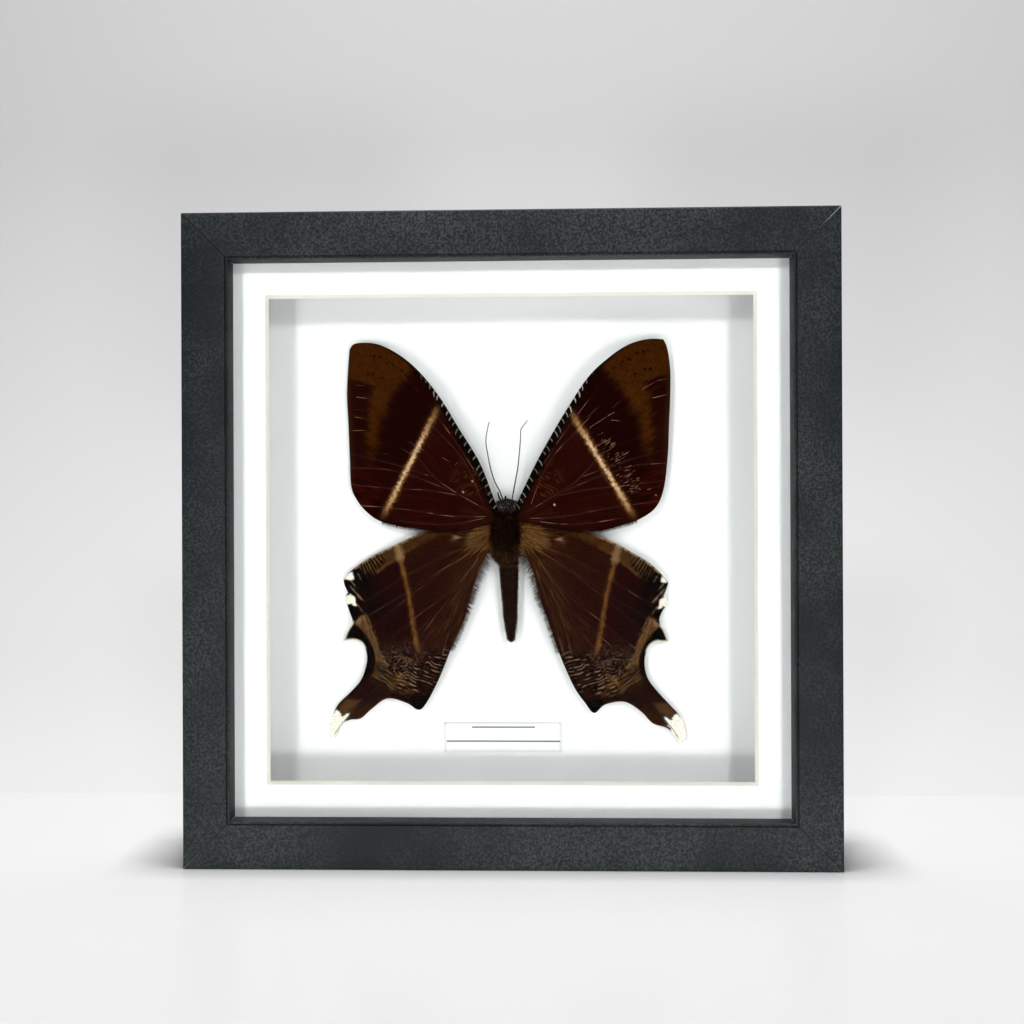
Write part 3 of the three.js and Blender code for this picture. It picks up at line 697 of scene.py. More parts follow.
# The hindwings: the same scaled membranes, lying just under the forewings, each drawn out into a
# tooth and a white-tipped tail, with a furry inner margin beside the abdomen.
HINDWINGS = {
    "left": {
        "spread": 46,
        "lift": 0,
        "tuck": 1,
        "outline": [
            [
                (-1, 2.5), (-6, 3.2), (-12, 2.6), (-18, 1.8), (-27.5, 0), (-34, -2), (-41.5, -5.5),
                (-49, -9), (-55.5, -13), (-60, -17), (-60.5, -19.5), (-59, -23),
            ],
            [(-59, -23), (-60, -25), (-58.5, -30), (-57.5, -33.5), (-59.5, -37), (-61, -41)],
            [
                (-61, -41), (-59, -40.5), (-56, -40.5), (-53.5, -42), (-52, -46), (-52.5, -50.5),
                (-54.5, -55.5), (-58.5, -60), (-63, -64.5), (-65.5, -70), (-66, -73.5), (-65.5, -77),
            ],
            [
                (-65.5, -77), (-63.5, -76), (-62, -72), (-58.5, -70), (-54.5, -69.5), (-50.5, -66),
                (-44.5, -62), (-37.5, -63.5), (-33, -66), (-30, -63.5), (-25, -54), (-20.5, -43),
                (-16, -33), (-12, -20), (-9, -12.5), (-7, -8.5), (-1, -6),
            ],
        ],
        "marks": [(7.5, -4.5), (40, -6.75), (61, -41), (65.5, -77), (33, -66)],
    },
    "right": {
        "spread": 60,
        "lift": 0,
        "tuck": 1,
        "outline": [
            [
                (1, 2.5), (6, 4), (12, 3.2), (19, 1.8), (31, -1.5), (37.5, -4), (45, -8), (51.5, -12),
                (55.5, -15.5), (58.5, -19), (58.5, -20.5), (57, -24.5),
            ],
            [(57, -24.5), (58.5, -27), (56.5, -30), (55.5, -33.5), (57.5, -37), (59, -41)],
            [
                (59, -41), (56.5, -41), (54, -41), (51.5, -43), (50, -48), (51, -54), (54.5, -59),
                (59.5, -64.5), (63, -68.5), (65, -74), (65, -77), (63.5, -78.5),
            ],
            [
                (63.5, -78.5), (62, -77.5), (58.5, -73), (53, -71), (48.5, -66.5), (42.5, -63),
                (35.5, -64), (31.5, -67), (28, -63), (24, -57), (19, -45.5), (16, -36.5), (12, -25),
                (9.5, -15.5), (6, -8.5), (1, -6),
            ],
        ],
        "marks": [(8.75, -4.75), (40, -8.75), (59, -41), (64.5, -78.5), (31.5, -67)],
    },
}
HINDWING_PATTERN_MARKS = [(7.5, -4.5), (39.75, -6.75), (60, -40.5), (64.5, -76.25), (32.75, -65.5)]
HINDWING_ROOT = (5.0, -3.0)
HINDWING_VEINS = {
    "radius": [(7.5, -3.5), (21, -8.5), (32, -13.8), (42.8, -20.3), (52, -26)],
    "median 1": [(7.5, -5), (21.5, -13), (31, -18.9), (37.3, -23.1), (54, -33)],
    "median 2": [(7.5, -4.5), (20, -12.5), (32, -21.3), (42.8, -30), (51, -36.8)],
    "median 3": [(8.5, -6.5), (17.8, -19.6), (33.1, -31.4), (37.3, -34.9), (50, -44.4)],
    "median 4": [(25, -29.5), (33, -36.9), (40.4, -43.3), (48, -49.5)],
    "cubital 1": [(9, -7.5), (25.5, -30.5), (36.1, -43.6), (40.1, -48.2), (49.5, -59), (61.5, -68)],
    "cubital 2": [(9.5, -8), (20, -26.5), (25.5, -34.2), (30.3, -40.4), (38.1, -50.9), (43, -60)],
    "anal 1": [(10, -9.5), (19, -29.5), (24.5, -48), (29, -60)],
    "anal 2": [(9, -11), (16.5, -31.5), (21.5, -48)],
}
HINDWING_BAND = [(39.75, -6.75), (38.25, -13), (35.75, -23.5), (34.75, -32.5), (33, -42.75), (31.5, -46)]
COSTA_BARS = [
    (54.4, -13.4), (53.4, -12.6), (52.5, -12), (51.6, -11.4), (50.6, -10.9), (49.7, -10.4), (48.7, -9.8),
    (47.3, -9.2), (46.1, -8.7),
]
BLACK_MARKS = [
    [
        (56.6, -15.1), (55.2, -14), (54, -13.8), (52.3, -16.3), (50.6, -19.9), (51.6, -22.9), (53.5, -21),
        (55.6, -18.5),
    ],
    [
        (58.4, -18), (57.7, -17.8), (56.1, -18.5), (54.4, -21), (53.8, -22.9), (55.2, -22.5),
        (56.9, -20.4), (58, -19.3),
    ],
    [
        (60, -20.3), (58.2, -19.2), (57, -21.6), (55.4, -24.6), (52.5, -29.7), (54.4, -28), (56.9, -23.5),
        (59, -23.2),
    ],
    [
        (58.8, -27), (57.1, -26.7), (55.2, -27.9), (53.8, -30.1), (54.4, -32), (55.6, -33.3),
        (57.2, -32.6), (58, -30.1),
    ],
    [
        (60.3, -40.8), (58.6, -37.3), (55.6, -34.7), (53.5, -36), (52, -38.2), (50, -41), (48.6, -44.5),
        (48.3, -48), (48.9, -51), (51.3, -54.5), (53, -50.5), (53, -45), (54, -41.6), (55.4, -40.4),
        (57.2, -39.8),
    ],
    [(35, -60.2), (29, -60.5), (28, -64), (31, -66.5), (34, -66.5), (35.2, -63.1)],
]
WHITE_MARKS = [
    [(60.6, -16.9), (56.7, -15.2), (56.2, -17.6), (57.1, -18.5), (58.6, -17.9), (60.6, -18.3)],
    [
        (60, -23.7), (57.5, -23.3), (56, -24.2), (55.4, -26.3), (55.1, -27.7), (56.9, -26.7), (58.6, -27),
        (60.6, -26),
    ],
]
PALE_STREAKS = [
    ([(57.5, -20.2), (55.2, -22.9)], 0.14), ([(55.2, -22.9), (53.1, -25.2)], 0.22),
    ([(55, -26.6), (53, -29.6)], 0.12), ([(57, -18.6), (54.8, -21.2)], 0.1),
    ([(54.6, -15.6), (53.4, -18)], 0.1),
]
TAWNY_MARGIN = [
    (55.8, -33.5), (53.5, -31.1), (51.8, -30.7), (50.1, -35.4), (48.3, -37.5), (47.4, -42), (46.6, -47),
    (48.4, -47.6), (49.3, -42.6), (50.6, -40.2), (52.3, -37.5), (53.5, -35.8),
]
MARGIN_HATCH = [
    [(53.4, -31.6), (51.2, -35)], [(53.2, -33.4), (51.2, -37)], [(51.6, -31.6), (50.2, -34.6)],
    [(50.4, -36.4), (49, -39)], [(49.4, -38.6), (48, -41.6)], [(48.6, -42), (46.8, -44.4)],
    [(48, -44), (46.6, -46.6)],
]
GOLD_FOOT = [
    (48.5, -45.3), (45.6, -46.2), (42.2, -51.5), (36.6, -53.5), (34.9, -59.1), (38.9, -58.6), (42.8, -57.7),
    (47.3, -57.4), (49, -54.9), (48.7, -50.4),
]
TAIL_TAN = [(62.4, -65.1), (59, -61.5), (54.4, -62.6), (55.8, -65.3), (58, -67.4), (60.8, -68.4)]
LOWER_TAIL = [(58.6, -68.7), (54.1, -65.9), (50.1, -62.4), (50.1, -66.5), (53.5, -69.8), (58, -70.8)]
TAIL_TIP = [
    (62.8, -65.6), (60.6, -68), (58, -67.2), (60.4, -70.8), (60.6, -73), (62, -79), (68, -79), (67, -66),
]
TAIL_VEIN = [(50, -61.7), (54.7, -63.9), (58, -67.6), (61.1, -71.3), (63.3, -74.5)]


def paint_hindwing(coat, edges, veins, side):
    """Maroon brown with a tawny band, a barred tawny costa, black and white marks along the margin,
    rows of broken pale dashes above the foot and a white-tipped tail."""
    out, fore = coat.out, coat.fore
    costa_away, costa_along = edges[0]
    inner_away = edges[3][0]
    band_fore, band_out = np.array(HINDWING_BAND[::-1]).T[::-1]
    within = np.interp(fore, band_fore, band_out) - out
    basal = fade(within, 0, 4)
    fine = mottle(coat.turn, coat.reach / 14, 0.28, 31)
    coat.lay(0.8 * fade(within, 0.5, -0.5) * fade(fore, -40, -30), srgb(26, 2, 2))
    coat.lay(0.9 * basal, srgb(28, 5, 2))
    coat.lay(0.4 * basal * fade(coat.streaks, 0.4, 0.8), srgb(40, 14, 4))
    coat.lay(0.5 * fade(coat.reach, 22, 5) * fade(fine, 0.3, 0.8), srgb(80, 47, 17))
    inner_half = fade(inner_away, 14, 3) * fade(fore, -54, -44)
    coat.lay(0.5 * inner_half * fade(fine, 0.4, 0.8), srgb(62, 38, 13))
    coat.lay(0.08 * basal * fade(fine, 0.72, 0.88), srgb(96, 66, 36))

    olive_depth = np.interp(out, [14, 30, 38, 48, 52], [2.0, 3.6, 4.6, 6.5, 5.0]) + 1.2 * (coat.fuzz - 0.5)
    olive = fade(costa_away, olive_depth + 0.9, olive_depth - 0.9) * fade(out, 12, 28) * fade(out, 56, 50)
    coat.lay(0.9 * olive, np.where((coat.fuzz > 0.5)[:, None], srgb(62, 39, 15), srgb(50, 28, 9)))
    rim_line = fade(np.abs(costa_away - olive_depth + 0.4), 0.7, 0.1) * fade(out, 30, 38) * fade(out, 52, 48)
    coat.lay(0.45 * rim_line, srgb(88, 56, 20))
    coat.stroke([(52, -19), (49.5, -30)], 3.6, srgb(7, 2, 1), 0.85, 5.5, 1.5)
    coat.stroke([(46, -22), (42, -34), (47, -40)], 3.0, srgb(14, 2, 1), 0.6, 6)

    coat.stroke(HINDWING_BAND, 0.75, srgb(84, 52, 19), 0.88, 1.5, 1.1)
    coat.stroke(HINDWING_BAND[:5], 0.3, srgb(112, 76, 36), 0.45, 0.8, 0.9)
    coat.stroke([(40.2, -4.6), (39, -10)], 1.3, srgb(126, 97, 64), 0.75, 2.0, 1.0)

    rng = np.random.default_rng(70 + side)
    for start_out, start_fore in COSTA_BARS:
        length = np.interp(start_out, [46, 54], [2.0, 6.2]) * rng.uniform(0.85, 1.15)
        lean = length * np.interp(start_out, [46, 54], [0.7, 0.4])
        bend = rng.uniform(-0.2, 0.2)
        halfway = (start_out - lean / 2 + bend, start_fore - length / 2)
        route = [(start_out, start_fore), halfway, (start_out - lean, start_fore - length)]
        thick = np.interp(start_out, [46, 50], [0.26, 0.4]) + rng.uniform(-0.05, 0.05)
        beside = [(x - thick - 0.15, y - 0.15) for x, y in route[:2]]
        coat.stroke(beside, 0.18, srgb(122, 94, 60), rng.uniform(0.4, 0.9), 0.25, 0.2)
        coat.stroke(route, thick, srgb(6, 2, 1), 0.98, 0.25, 0.25)

    for away, along in veins:
        coat.lay(0.08 * fade(along, 2, 8) * fade(away, 0.3, 0.1), srgb(110, 78, 64))

    net = fade(fore, -41, -46) * fade(fore, -60, -57.5) * fade(out, 48.5, 46)
    coat.lay(0.7 * net, srgb(24, 6, 4))
    coat.patch(GOLD_FOOT, srgb(76, 49, 19), 0.85, 2.6, 2.4)
    foot = fade(out, 33, 37) * fade(out, 50, 48.5) * fade(fore, -45, -48) * fade(fore, -61, -58)
    flecks = mottle(coat.turn, 1.7 * coat.reach, 1.0, 57)
    coat.lay(0.85 * foot * fade(flecks, 0.5, 0.66), srgb(12, 4, 2))
    coat.lay(0.5 * foot * fade(flecks, 0.3, 0.14), srgb(128, 94, 58))
    hatching = fade(fore, -37, -43) * fade(fore, -54, -50) * fade(out, 50, 46) * fade(out, 29, 33)
    threads = mottle(coat.turn, coat.reach / 6, 0.17, 56)
    coat.lay(0.25 * hatching * fade(threads, 0.66, 0.86), srgb(124, 92, 74))
    beside_body = out + 0.8 * (fore + 52) < 36
    arcs = (coat.reach + 2.2 * mottle(out, fore, 2.6, 52)) / 1.1
    bars = (fore - 0.35 * out + 1.4 * mottle(out, fore, 2.4, 53)) / 1.4
    ripple = np.where(beside_body, bars, arcs)
    row = np.floor(ripple)
    off_row = np.abs(ripple - row - 0.5)
    along_row = np.where(beside_body, 0.55 * out, coat.turn)
    pale_dash = fade(mottle(along_row, 7.3 * row, 0.6, 54), 0.44, 0.66) * fade(off_row, 0.2, 0.05)
    dark_dash = fade(mottle(along_row, 7.3 * row, 0.7, 55), 0.4, 0.56) * fade(off_row, 0.2, 0.34)
    coat.lay(0.9 * net * dark_dash, srgb(8, 2, 1))
    coat.lay(net * np.where(beside_body, 0.55, 0.3) * pale_dash, srgb(150, 122, 96))
    inner_black = fade(inner_away, 2.2, 0.8) * fade(fore, -42, -46) * fade(fore, -64, -61)
    coat.lay(0.75 * inner_black * (1 - 0.6 * pale_dash), srgb(8, 2, 1))

    coat.patch(TAWNY_MARGIN, srgb(90, 62, 32), 0.88, 1.6, 2.2)
    coat.stroke([(54.8, -33.4), (52.8, -32.2)], 0.8, srgb(120, 92, 66), 0.75, 1.2, 1.4)
    for route in MARGIN_HATCH:
        coat.stroke(route, 0.2, srgb(26, 9, 5), 0.8, 0.4, 0.6)
        coat.stroke([(x - 0.6, y - 0.2) for x, y in route], 0.1, srgb(142, 112, 88), 0.4, 0.3, 0.4)

    coat.stroke([(47, -58), (54, -62.5), (62, -70)], 3.4, srgb(22, 4, 2), 0.9, 1.4)
    foot_margin = fade(inner_away, 3.2, 1.2) * fade(fore, -59, -62) * fade(out, 50, 46)
    coat.lay(0.8 * foot_margin, srgb(23, 6, 3))
    hem_line = fade(inner_away, 1.0, 0.3) * fade(fore, -60, -62) * fade(out, 34.5, 36)
    coat.lay(0.6 * hem_line * fade(coat.fuzz, 0.2, 0.6), srgb(72, 47, 22))
    coat.patch(LOWER_TAIL, srgb(50, 28, 9), 0.6, 2.6, 1.6)
    coat.patch(TAIL_TAN, srgb(80, 54, 30), 0.75, 3.0, 2.0)
    for outline in BLACK_MARKS:
        coat.patch(outline, srgb(5, 2, 1), 0.97, 0.6, 0.7)
    for outline in WHITE_MARKS:
        coat.patch(outline, srgb(242, 237, 220), 0.96, 0.5, 0.7)
    for route, half_width in PALE_STREAKS:
        coat.stroke(route, half_width, srgb(150, 128, 102), 0.5, 0.35, 0.4)
    coat.dot((57.3, -34.3), 0.42, srgb(10, 4, 2), 0.9)
    hairs = mottle(coat.turn, coat.reach / 5, 0.16, 61)
    coat.patch(TAIL_TIP, srgb(250, 247, 232), 0.97, 1.0, 0.9)
    at_tip = fade(fore, -66, -69) * fade(out, 57, 60)
    coat.lay(0.45 * at_tip * fade(hairs, 0.6, 0.86), srgb(206, 188, 152))
    coat.stroke(TAIL_VEIN, 0.15, srgb(22, 8, 4), 0.85, 0.35)
    upper_edge = fade(edges[2][0], 0.7, 0.25) * fade(fore, -50, -53) * fade(fore, -68, -65)
    coat.lay(0.9 * upper_edge, srgb(6, 3, 2))
    fringe = fade(edges[1][0], 0.9, 0.3) * fade(fore, -32.5, -34)
    coat.lay(0.85 * fringe, srgb(236, 226, 208))
    coat.lay(0.8 * fade(edges[2][0], 0.6, 0.2) * fade(fore, -44, -42.5), srgb(232, 218, 196))

    pale_costa = fade(costa_away, 0.85, 0.35) * fade(out, 30, 36) * fade(out, 58, 54)
    coat.lay(0.8 * pale_costa, srgb(176, 146, 114))
    for tick in np.arange(36, 62, 3.4):
        centre = tick + rng.uniform(-0.7, 0.7)
        dark_tick = fade(np.abs(costa_along - centre), 0.6, 0.25) * fade(costa_away, 1.0, 0.6)
        coat.lay(0.9 * dark_tick, srgb(8, 3, 2))
    coat.lay(0.8 * fade(costa_away, 0.3, 0.1) * fade(out, 30, 34), srgb(14, 5, 3))
    coat.stroke([(7, -0.8), (13, -3.6)], 1.6, srgb(116, 84, 52), 0.7, 2.6, 1.8)
    coat.stroke([(17.5, -2.6), (19.5, -3.4)], 0.5, srgb(146, 116, 92), 0.5, 1.6, 1.6)


hindwing_edges = {}
for side_name, wing in HINDWINGS.items():
    hindwing_edges[side_name] = set_wing(
        f"hindwing_{side_name}",
        wing["outline"],
        wing,
        -1 if side_name == "left" else 1,
        wing["marks"],
        HINDWING_PATTERN_MARKS,
        HINDWING_ROOT,
        HINDWING_VEINS.values(),
        srgb(25, 3, 2),
        paint_hindwing,
    )


# The body: thorax, head with its eyes, palp and tongue, ringed abdomen and six folded legs, dried
# in one piece, its thorax stuck to the board by a dab of glue.
THORAX_CENTRE, THORAX_HALF = np.array([-0.6, -1.4, 6.2]), np.array([5.2, 9.8, 4.5])
HEAD_CENTRE, HEAD_HALF = np.array([0, 8.9, 6.6]), np.array([3.9, 2.5, 3.0])
EYE_CENTRE, EYE_RADIUS = np.array([2.9, 9.5, 6.9]), 1.3
ABDOMEN_START, ABDOMEN_LEAN = np.array([0.2, 0, 5.6]), math.radians(1.6)
ABDOMEN_PROFILE = [
    (0.05, -41), (1, -40.4), (1.3, -38), (1.9, -34.5), (2.3, -31.5), (2.4, -27.5), (2.75, -22), (3.2, -15),
    (3.3, -11), (2.6, -7), (0.05, -6),
]
ABDOMEN_RING = 4.3
RING_STEP = 0.24
LEG_ROUTE = [(1.8, 0, 2.9), (5.2, 0.8, 2.9), (8.6, 0.4, 2.2), (7, -1.6, 1.3), (4.8, -3, 0.85)]
LEG_ROOTS = (4, 0, -4)
PALP = [(-1.6, 9.6, 6.4), (-2.7, 11.6, 6.3), (-3.4, 13.8, 6)]
TONGUE = [(-0.5, 10.4, 6.2), (-0.6, 11.6, 6.2), (-0.5, 12.4, 6)]


def add_tube(bm, route, radii, sides):
    """A round tube along a route, in the moth's millimetres, with closed ends."""
    route = [Vector(point) for point in route]
    ring = None
    for i, point in enumerate(route):
        ahead = route[min(i + 1, len(route) - 1)] - route[max(i - 1, 0)]
        turned = Matrix.Translation(point) @ ahead.to_track_quat("Z", "Y").to_matrix().to_4x4()
        circle = {"cap_ends": i in (0, len(route) - 1), "radius": radii[i], "segments": sides}
        made = bmesh.ops.create_circle(bm, matrix=turned, **circle)["verts"]
        loop = list({edge for vert in made for edge in vert.link_edges})
        if ring:
            bmesh.ops.bridge_loops(bm, edges=ring + loop)
        ring = loop


def add_ball(bm, centre, half):
    """A ball stretched to the given half sizes, in the moth's millimetres."""
    stretched = Matrix.Translation(centre) @ Matrix.Diagonal((*half, 1))
    made = bmesh.ops.create_uvsphere(bm, u_segments=28, v_segments=18, radius=1, matrix=stretched)
    return made["verts"]


def to_scene(bm):
    """Carries a mesh from the moth's millimetres to its place on the board."""
    bmesh.ops.recalc_face_normals(bm, faces=bm.faces)
    x, y, height = np.array([vert.co for vert in bm.verts]).T
    for vert, place in zip(bm.verts, on_moth(x, y, height)):
        vert.co = place


skin, tree, shader, tufts = grained_finish("body_skin", 900, 5, srgb(12, 3, 1), srgb(34, 15, 4))
shader.inputs["Roughness"].default_value = 0.75
shader.inputs["Specular IOR Level"].default_value = 0.06
relief(tree, shader, tufts, 0.3 * MM, 0.6)

eye_gloss, tree, shader = new_finish("eye_gloss")
place = add_node(tree, "TexCoord", {}).outputs["Object"]
facets = add_node(tree, "TexVoronoi", {"Vector": place, "Scale": 9000.0})
eye_tone = two_tone(tree, facets.outputs["Distance"], srgb(24, 16, 12), srgb(8, 6, 5))
tree.links.new(eye_tone, shader.inputs["Base Color"])
shader.inputs["Roughness"].default_value = 0.28

bm = bmesh.new()
profile = smooth_route(ABDOMEN_PROFILE, 0.35)
line = []
for radius, place in profile:
    ring_share = (-place % ABDOMEN_RING) / ABDOMEN_RING
    swell = 1 + RING_STEP * (ring_share - 0.5) * fade(radius, 0.6, 1.5)
    line.append(bm.verts.new((radius * swell, place, 0)))
chain = [bm.edges.new(pair) for pair in zip(line, line[1:])]
full_turn = {"cent": (0, 0, 0), "axis": (0, 1, 0), "dvec": (0, 0, 0), "angle": 2 * math.pi}
bmesh.ops.spin(bm, geom=line + chain, steps=32, use_merge=True, **full_turn)
bmesh.ops.remove_doubles(bm, verts=bm.verts, dist=0.02)
lean = Matrix.Translation(ABDOMEN_START) @ Matrix.Rotation(ABDOMEN_LEAN, 4, "Z")
bmesh.ops.transform(bm, matrix=lean, verts=bm.verts)
add_ball(bm, THORAX_CENTRE, THORAX_HALF)
add_ball(bm, HEAD_CENTRE, HEAD_HALF)
for root in LEG_ROOTS:
    for side in (-1, 1):
        bent = [(side * outwards, root + forwards, up) for outwards, forwards, up in LEG_ROUTE]
        route = smooth_route(bent, 0.8)
        add_tube(bm, route, np.linspace(0.5, 0.28, len(route)), 10)
for route, radius in ((PALP, 0.42), (TONGUE, 0.5)):
    curve = smooth_route(route, 0.4)
    add_tube(bm, curve, np.linspace(radius, 0.6 * radius, len(curve)), 10)
eyes = []
for side in (-1, 1):
    eyes += add_ball(bm, EYE_CENTRE * (side, 1, 1), (EYE_RADIUS,) * 3)
for face in {face for vert in eyes for face in vert.link_faces}:
    face.material_index = 1
to_scene(bm)
body = new_piece("moth_body_core", bm, [skin, eye_gloss], 60)
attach(body, "root")
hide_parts("moth_body")


# The antennae: thin black jointed horns on the top of the head, curving forwards over the board.
ANTENNAE = {
    "left": [
        (-1.4, 11, 8.6), (-2.5, 14, 8.6), (-4.5, 18, 8.2), (-6, 23, 7.6), (-7, 28, 7), (-7.6, 32.5, 6.4),
        (-7, 37, 6), (-6.4, 39.5, 5.8),
    ],
    "right": [
        (1.9, 11, 8.6), (3, 17, 8.4), (4, 22.5, 7.8), (4.6, 28, 7.1), (5, 33, 6.5), (5.2, 36.6, 6.1),
        (6.5, 38.5, 5.9), (7.5, 40, 5.8),
    ],
}
ANTENNA_RADIUS = 0.22
horn_tones = srgb(14, 8, 6), srgb(40, 28, 22)
antenna_horn, tree, shader, _ = grained_finish("antenna_horn", 2500, 3, *horn_tones)
shader.inputs["Roughness"].default_value = 0.5
for side_name, points in ANTENNAE.items():
    bm = bmesh.new()
    route = smooth_route(points, 0.25)
    taper = np.linspace(1.1, 0.6, len(route)) * (1 + 0.14 * (np.arange(len(route)) % 2))
    add_tube(bm, route, ANTENNA_RADIUS * taper, 8)
    to_scene(bm)
    antenna = new_piece(f"antenna_{side_name}_horn", bm, [antenna_horn], 60)
    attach(antenna, "root")
    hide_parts(f"antenna_{side_name}")


# The fur: soft hairs that cover the thorax, head and abdomen, lie over the wing bases, and stand
# out as a fringe along the inner and hind margins of the wings. Each grew from the skin.
HAIR_RADIUS = 0.055
HIND_RADIUS = 0.045
TUFT_RADIUS = 0.042
HAIR_SAG = 0.12
HAIR_POINTS = 7
REAR_HAIRS = 900
ABDOMEN_HAIRS = 3400
INNER_HAIRS = 720
HIND_HAIRS = 700
TUFT_HAIRS = 560


def unit(vectors):
    """The same directions, each one long."""
    return vectors / np.linalg.norm(vectors, axis=1, keepdims=True)


def grow_fur(name, roots, leans, lengths, tints, radius=HAIR_RADIUS):
    """Joins tapered three-sided hairs into one mesh, each bending down towards its tip."""
    count = len(roots)
    ahead = unit(leans)
    beside = unit(np.cross(ahead, (0, 0, 1)) + 1e-6)
    above = np.cross(beside, ahead)
    reach = ahead * lengths[:, None]
    sag = np.zeros((count, 3))
    sag[:, 2] = -HAIR_SAG * lengths
    corners = []
    for share, slim in ((0.0, 1.0), (0.55, 0.8)):
        middle_line = roots + reach * share + sag * share**2
        for turn in np.arange(3) * 2 * math.pi / 3:
            corners.append(middle_line + slim * radius * (math.cos(turn) * beside + math.sin(turn) * above))
    corners.append(roots + reach + sag)
    points = np.stack(corners, axis=1).reshape(-1, 3)
    hair = [(2, 1, 0), (0, 1, 4, 3), (1, 2, 5, 4), (2, 0, 3, 5), (3, 4, 6), (4, 5, 6), (5, 3, 6)]
    firsts = range(0, HAIR_POINTS * count, HAIR_POINTS)
    faces = [[first + corner for corner in face] for first in firsts for face in hair]
    mesh = bpy.data.meshes.new(name)
    mesh.from_pydata(on_moth(*points.T).tolist(), [], faces)
    mesh.shade_smooth()
    mesh.materials.append(fur_finish)
    colour = mesh.color_attributes.new("hair", "FLOAT_COLOR", "POINT")
    opaque = np.column_stack([tints, np.ones(count)])
    colour.data.foreach_set("color", np.repeat(opaque, HAIR_POINTS, axis=0).ravel())
    fur = bpy.data.objects.new(name, mesh)
    bpy.context.scene.collection.objects.link(fur)
    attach(fur, "root")


def hair_tints(rng, count, dark, pale, pale_share):
    """A colour for each hair, mostly dark, with some nearer to the pale one."""
    share = rng.random(count) ** (1 / pale_share - 1)
    return dark + share[:, None] * (pale - dark)


fur_finish, tree, shader = new_finish("fur")
strand = add_node(tree, "Attribute", {}, attribute_name="hair").outputs["Color"]
gloss = grain(tree, 1200, 3)
gloss_share = spread(tree, gloss, 0.75, 1.25)
shade = add_node(tree, "VectorMath", {0: strand, "Scale": gloss_share}, operation="SCALE")
tree.links.new(shade.outputs[0], shader.inputs["Base Color"])
shader.inputs["Roughness"].default_value = 0.6
shader.inputs["Specular IOR Level"].default_value = 0.02

rng = np.random.default_rng(101)
COATS = {
    "thorax": (THORAX_CENTRE, THORAX_HALF, 6500, (1.5, 3.4), srgb(10, 1, 1), srgb(88, 46, 26), 0.12),
    "head": (HEAD_CENTRE, HEAD_HALF, 1500, (0.7, 1.6), srgb(6, 3, 3), srgb(146, 134, 122), 0.2),
}
for name, (centre, half, count, (short, long), dark, pale, pale_share) in COATS.items():
    normals = unit(rng.normal(size=(3 * count, 3)))
    normals = normals[normals[:, 2] > -0.25][:count]
    count = len(normals)
    outwards = unit(normals / half)
    leans = 0.45 * outwards + np.array([0, -0.75, 0]) + 0.3 * rng.normal(size=(count, 3))
    lengths = rng.uniform(short, long, count)
    tints = hair_tints(rng, count, dark, pale, pale_share)
    grow_fur(f"{name}_fur", centre + normals * half, leans, lengths, tints)

normals = unit(rng.normal(size=(REAR_HAIRS, 3)) * (0.9, 0.35, 0.6) + (0, -1, 0.45))
leans = normals * (0.55, 0, 0.1) + (0, -1, -0.1) + 0.2 * rng.normal(size=(REAR_HAIRS, 3))
tints = hair_tints(rng, REAR_HAIRS, srgb(26, 10, 3), srgb(140, 102, 64), 0.4)
lengths = rng.uniform(1.6, 3.8, REAR_HAIRS)
grow_fur("rear_tuft", THORAX_CENTRE + normals * THORAX_HALF, leans, lengths, tints)

count = ABDOMEN_HAIRS
place = rng.uniform(-39.5, -7, count)
turn = rng.uniform(-0.15, 1.15, count) * math.pi
profile_radius, profile_place = np.array(ABDOMEN_PROFILE).T
radius = np.interp(place, profile_place, profile_radius)
outwards = np.column_stack([np.cos(turn), np.zeros(count), np.sin(turn)])
axis_x = ABDOMEN_START[0] - math.tan(ABDOMEN_LEAN) * place
roots = np.column_stack([axis_x, place, np.full(count, ABDOMEN_START[2])]) + outwards * radius[:, None]
leans = 0.4 * outwards + np.array([0, -1, 0]) + 0.22 * rng.normal(size=(count, 3))
tints = hair_tints(rng, count, srgb(17, 4, 1), srgb(84, 52, 22), 0.24)
tan = fade(place, -15, -9)[:, None] * rng.random((count, 1))
tints += tan * (srgb(128, 90, 56) - tints)
grow_fur("abdomen_fur", roots, leans, rng.uniform(0.6, 1.7, count), tints)


def hem(rng, route, low, high, count):
    """Random places on a route between two of its shares, and the direction of the route there."""
    route = np.array(route)
    steps = np.linalg.norm(np.diff(route, axis=0), axis=1)
    passed = np.concatenate([[0], np.cumsum(steps)])
    at = rng.uniform(low, high, count) * passed[-1]
    places = np.column_stack([np.interp(at, passed, route[:, axis]) for axis in (0, 1)])
    later = np.column_stack([np.interp(at + 0.3, passed, route[:, axis]) for axis in (0, 1)])
    return places, unit(later - places)


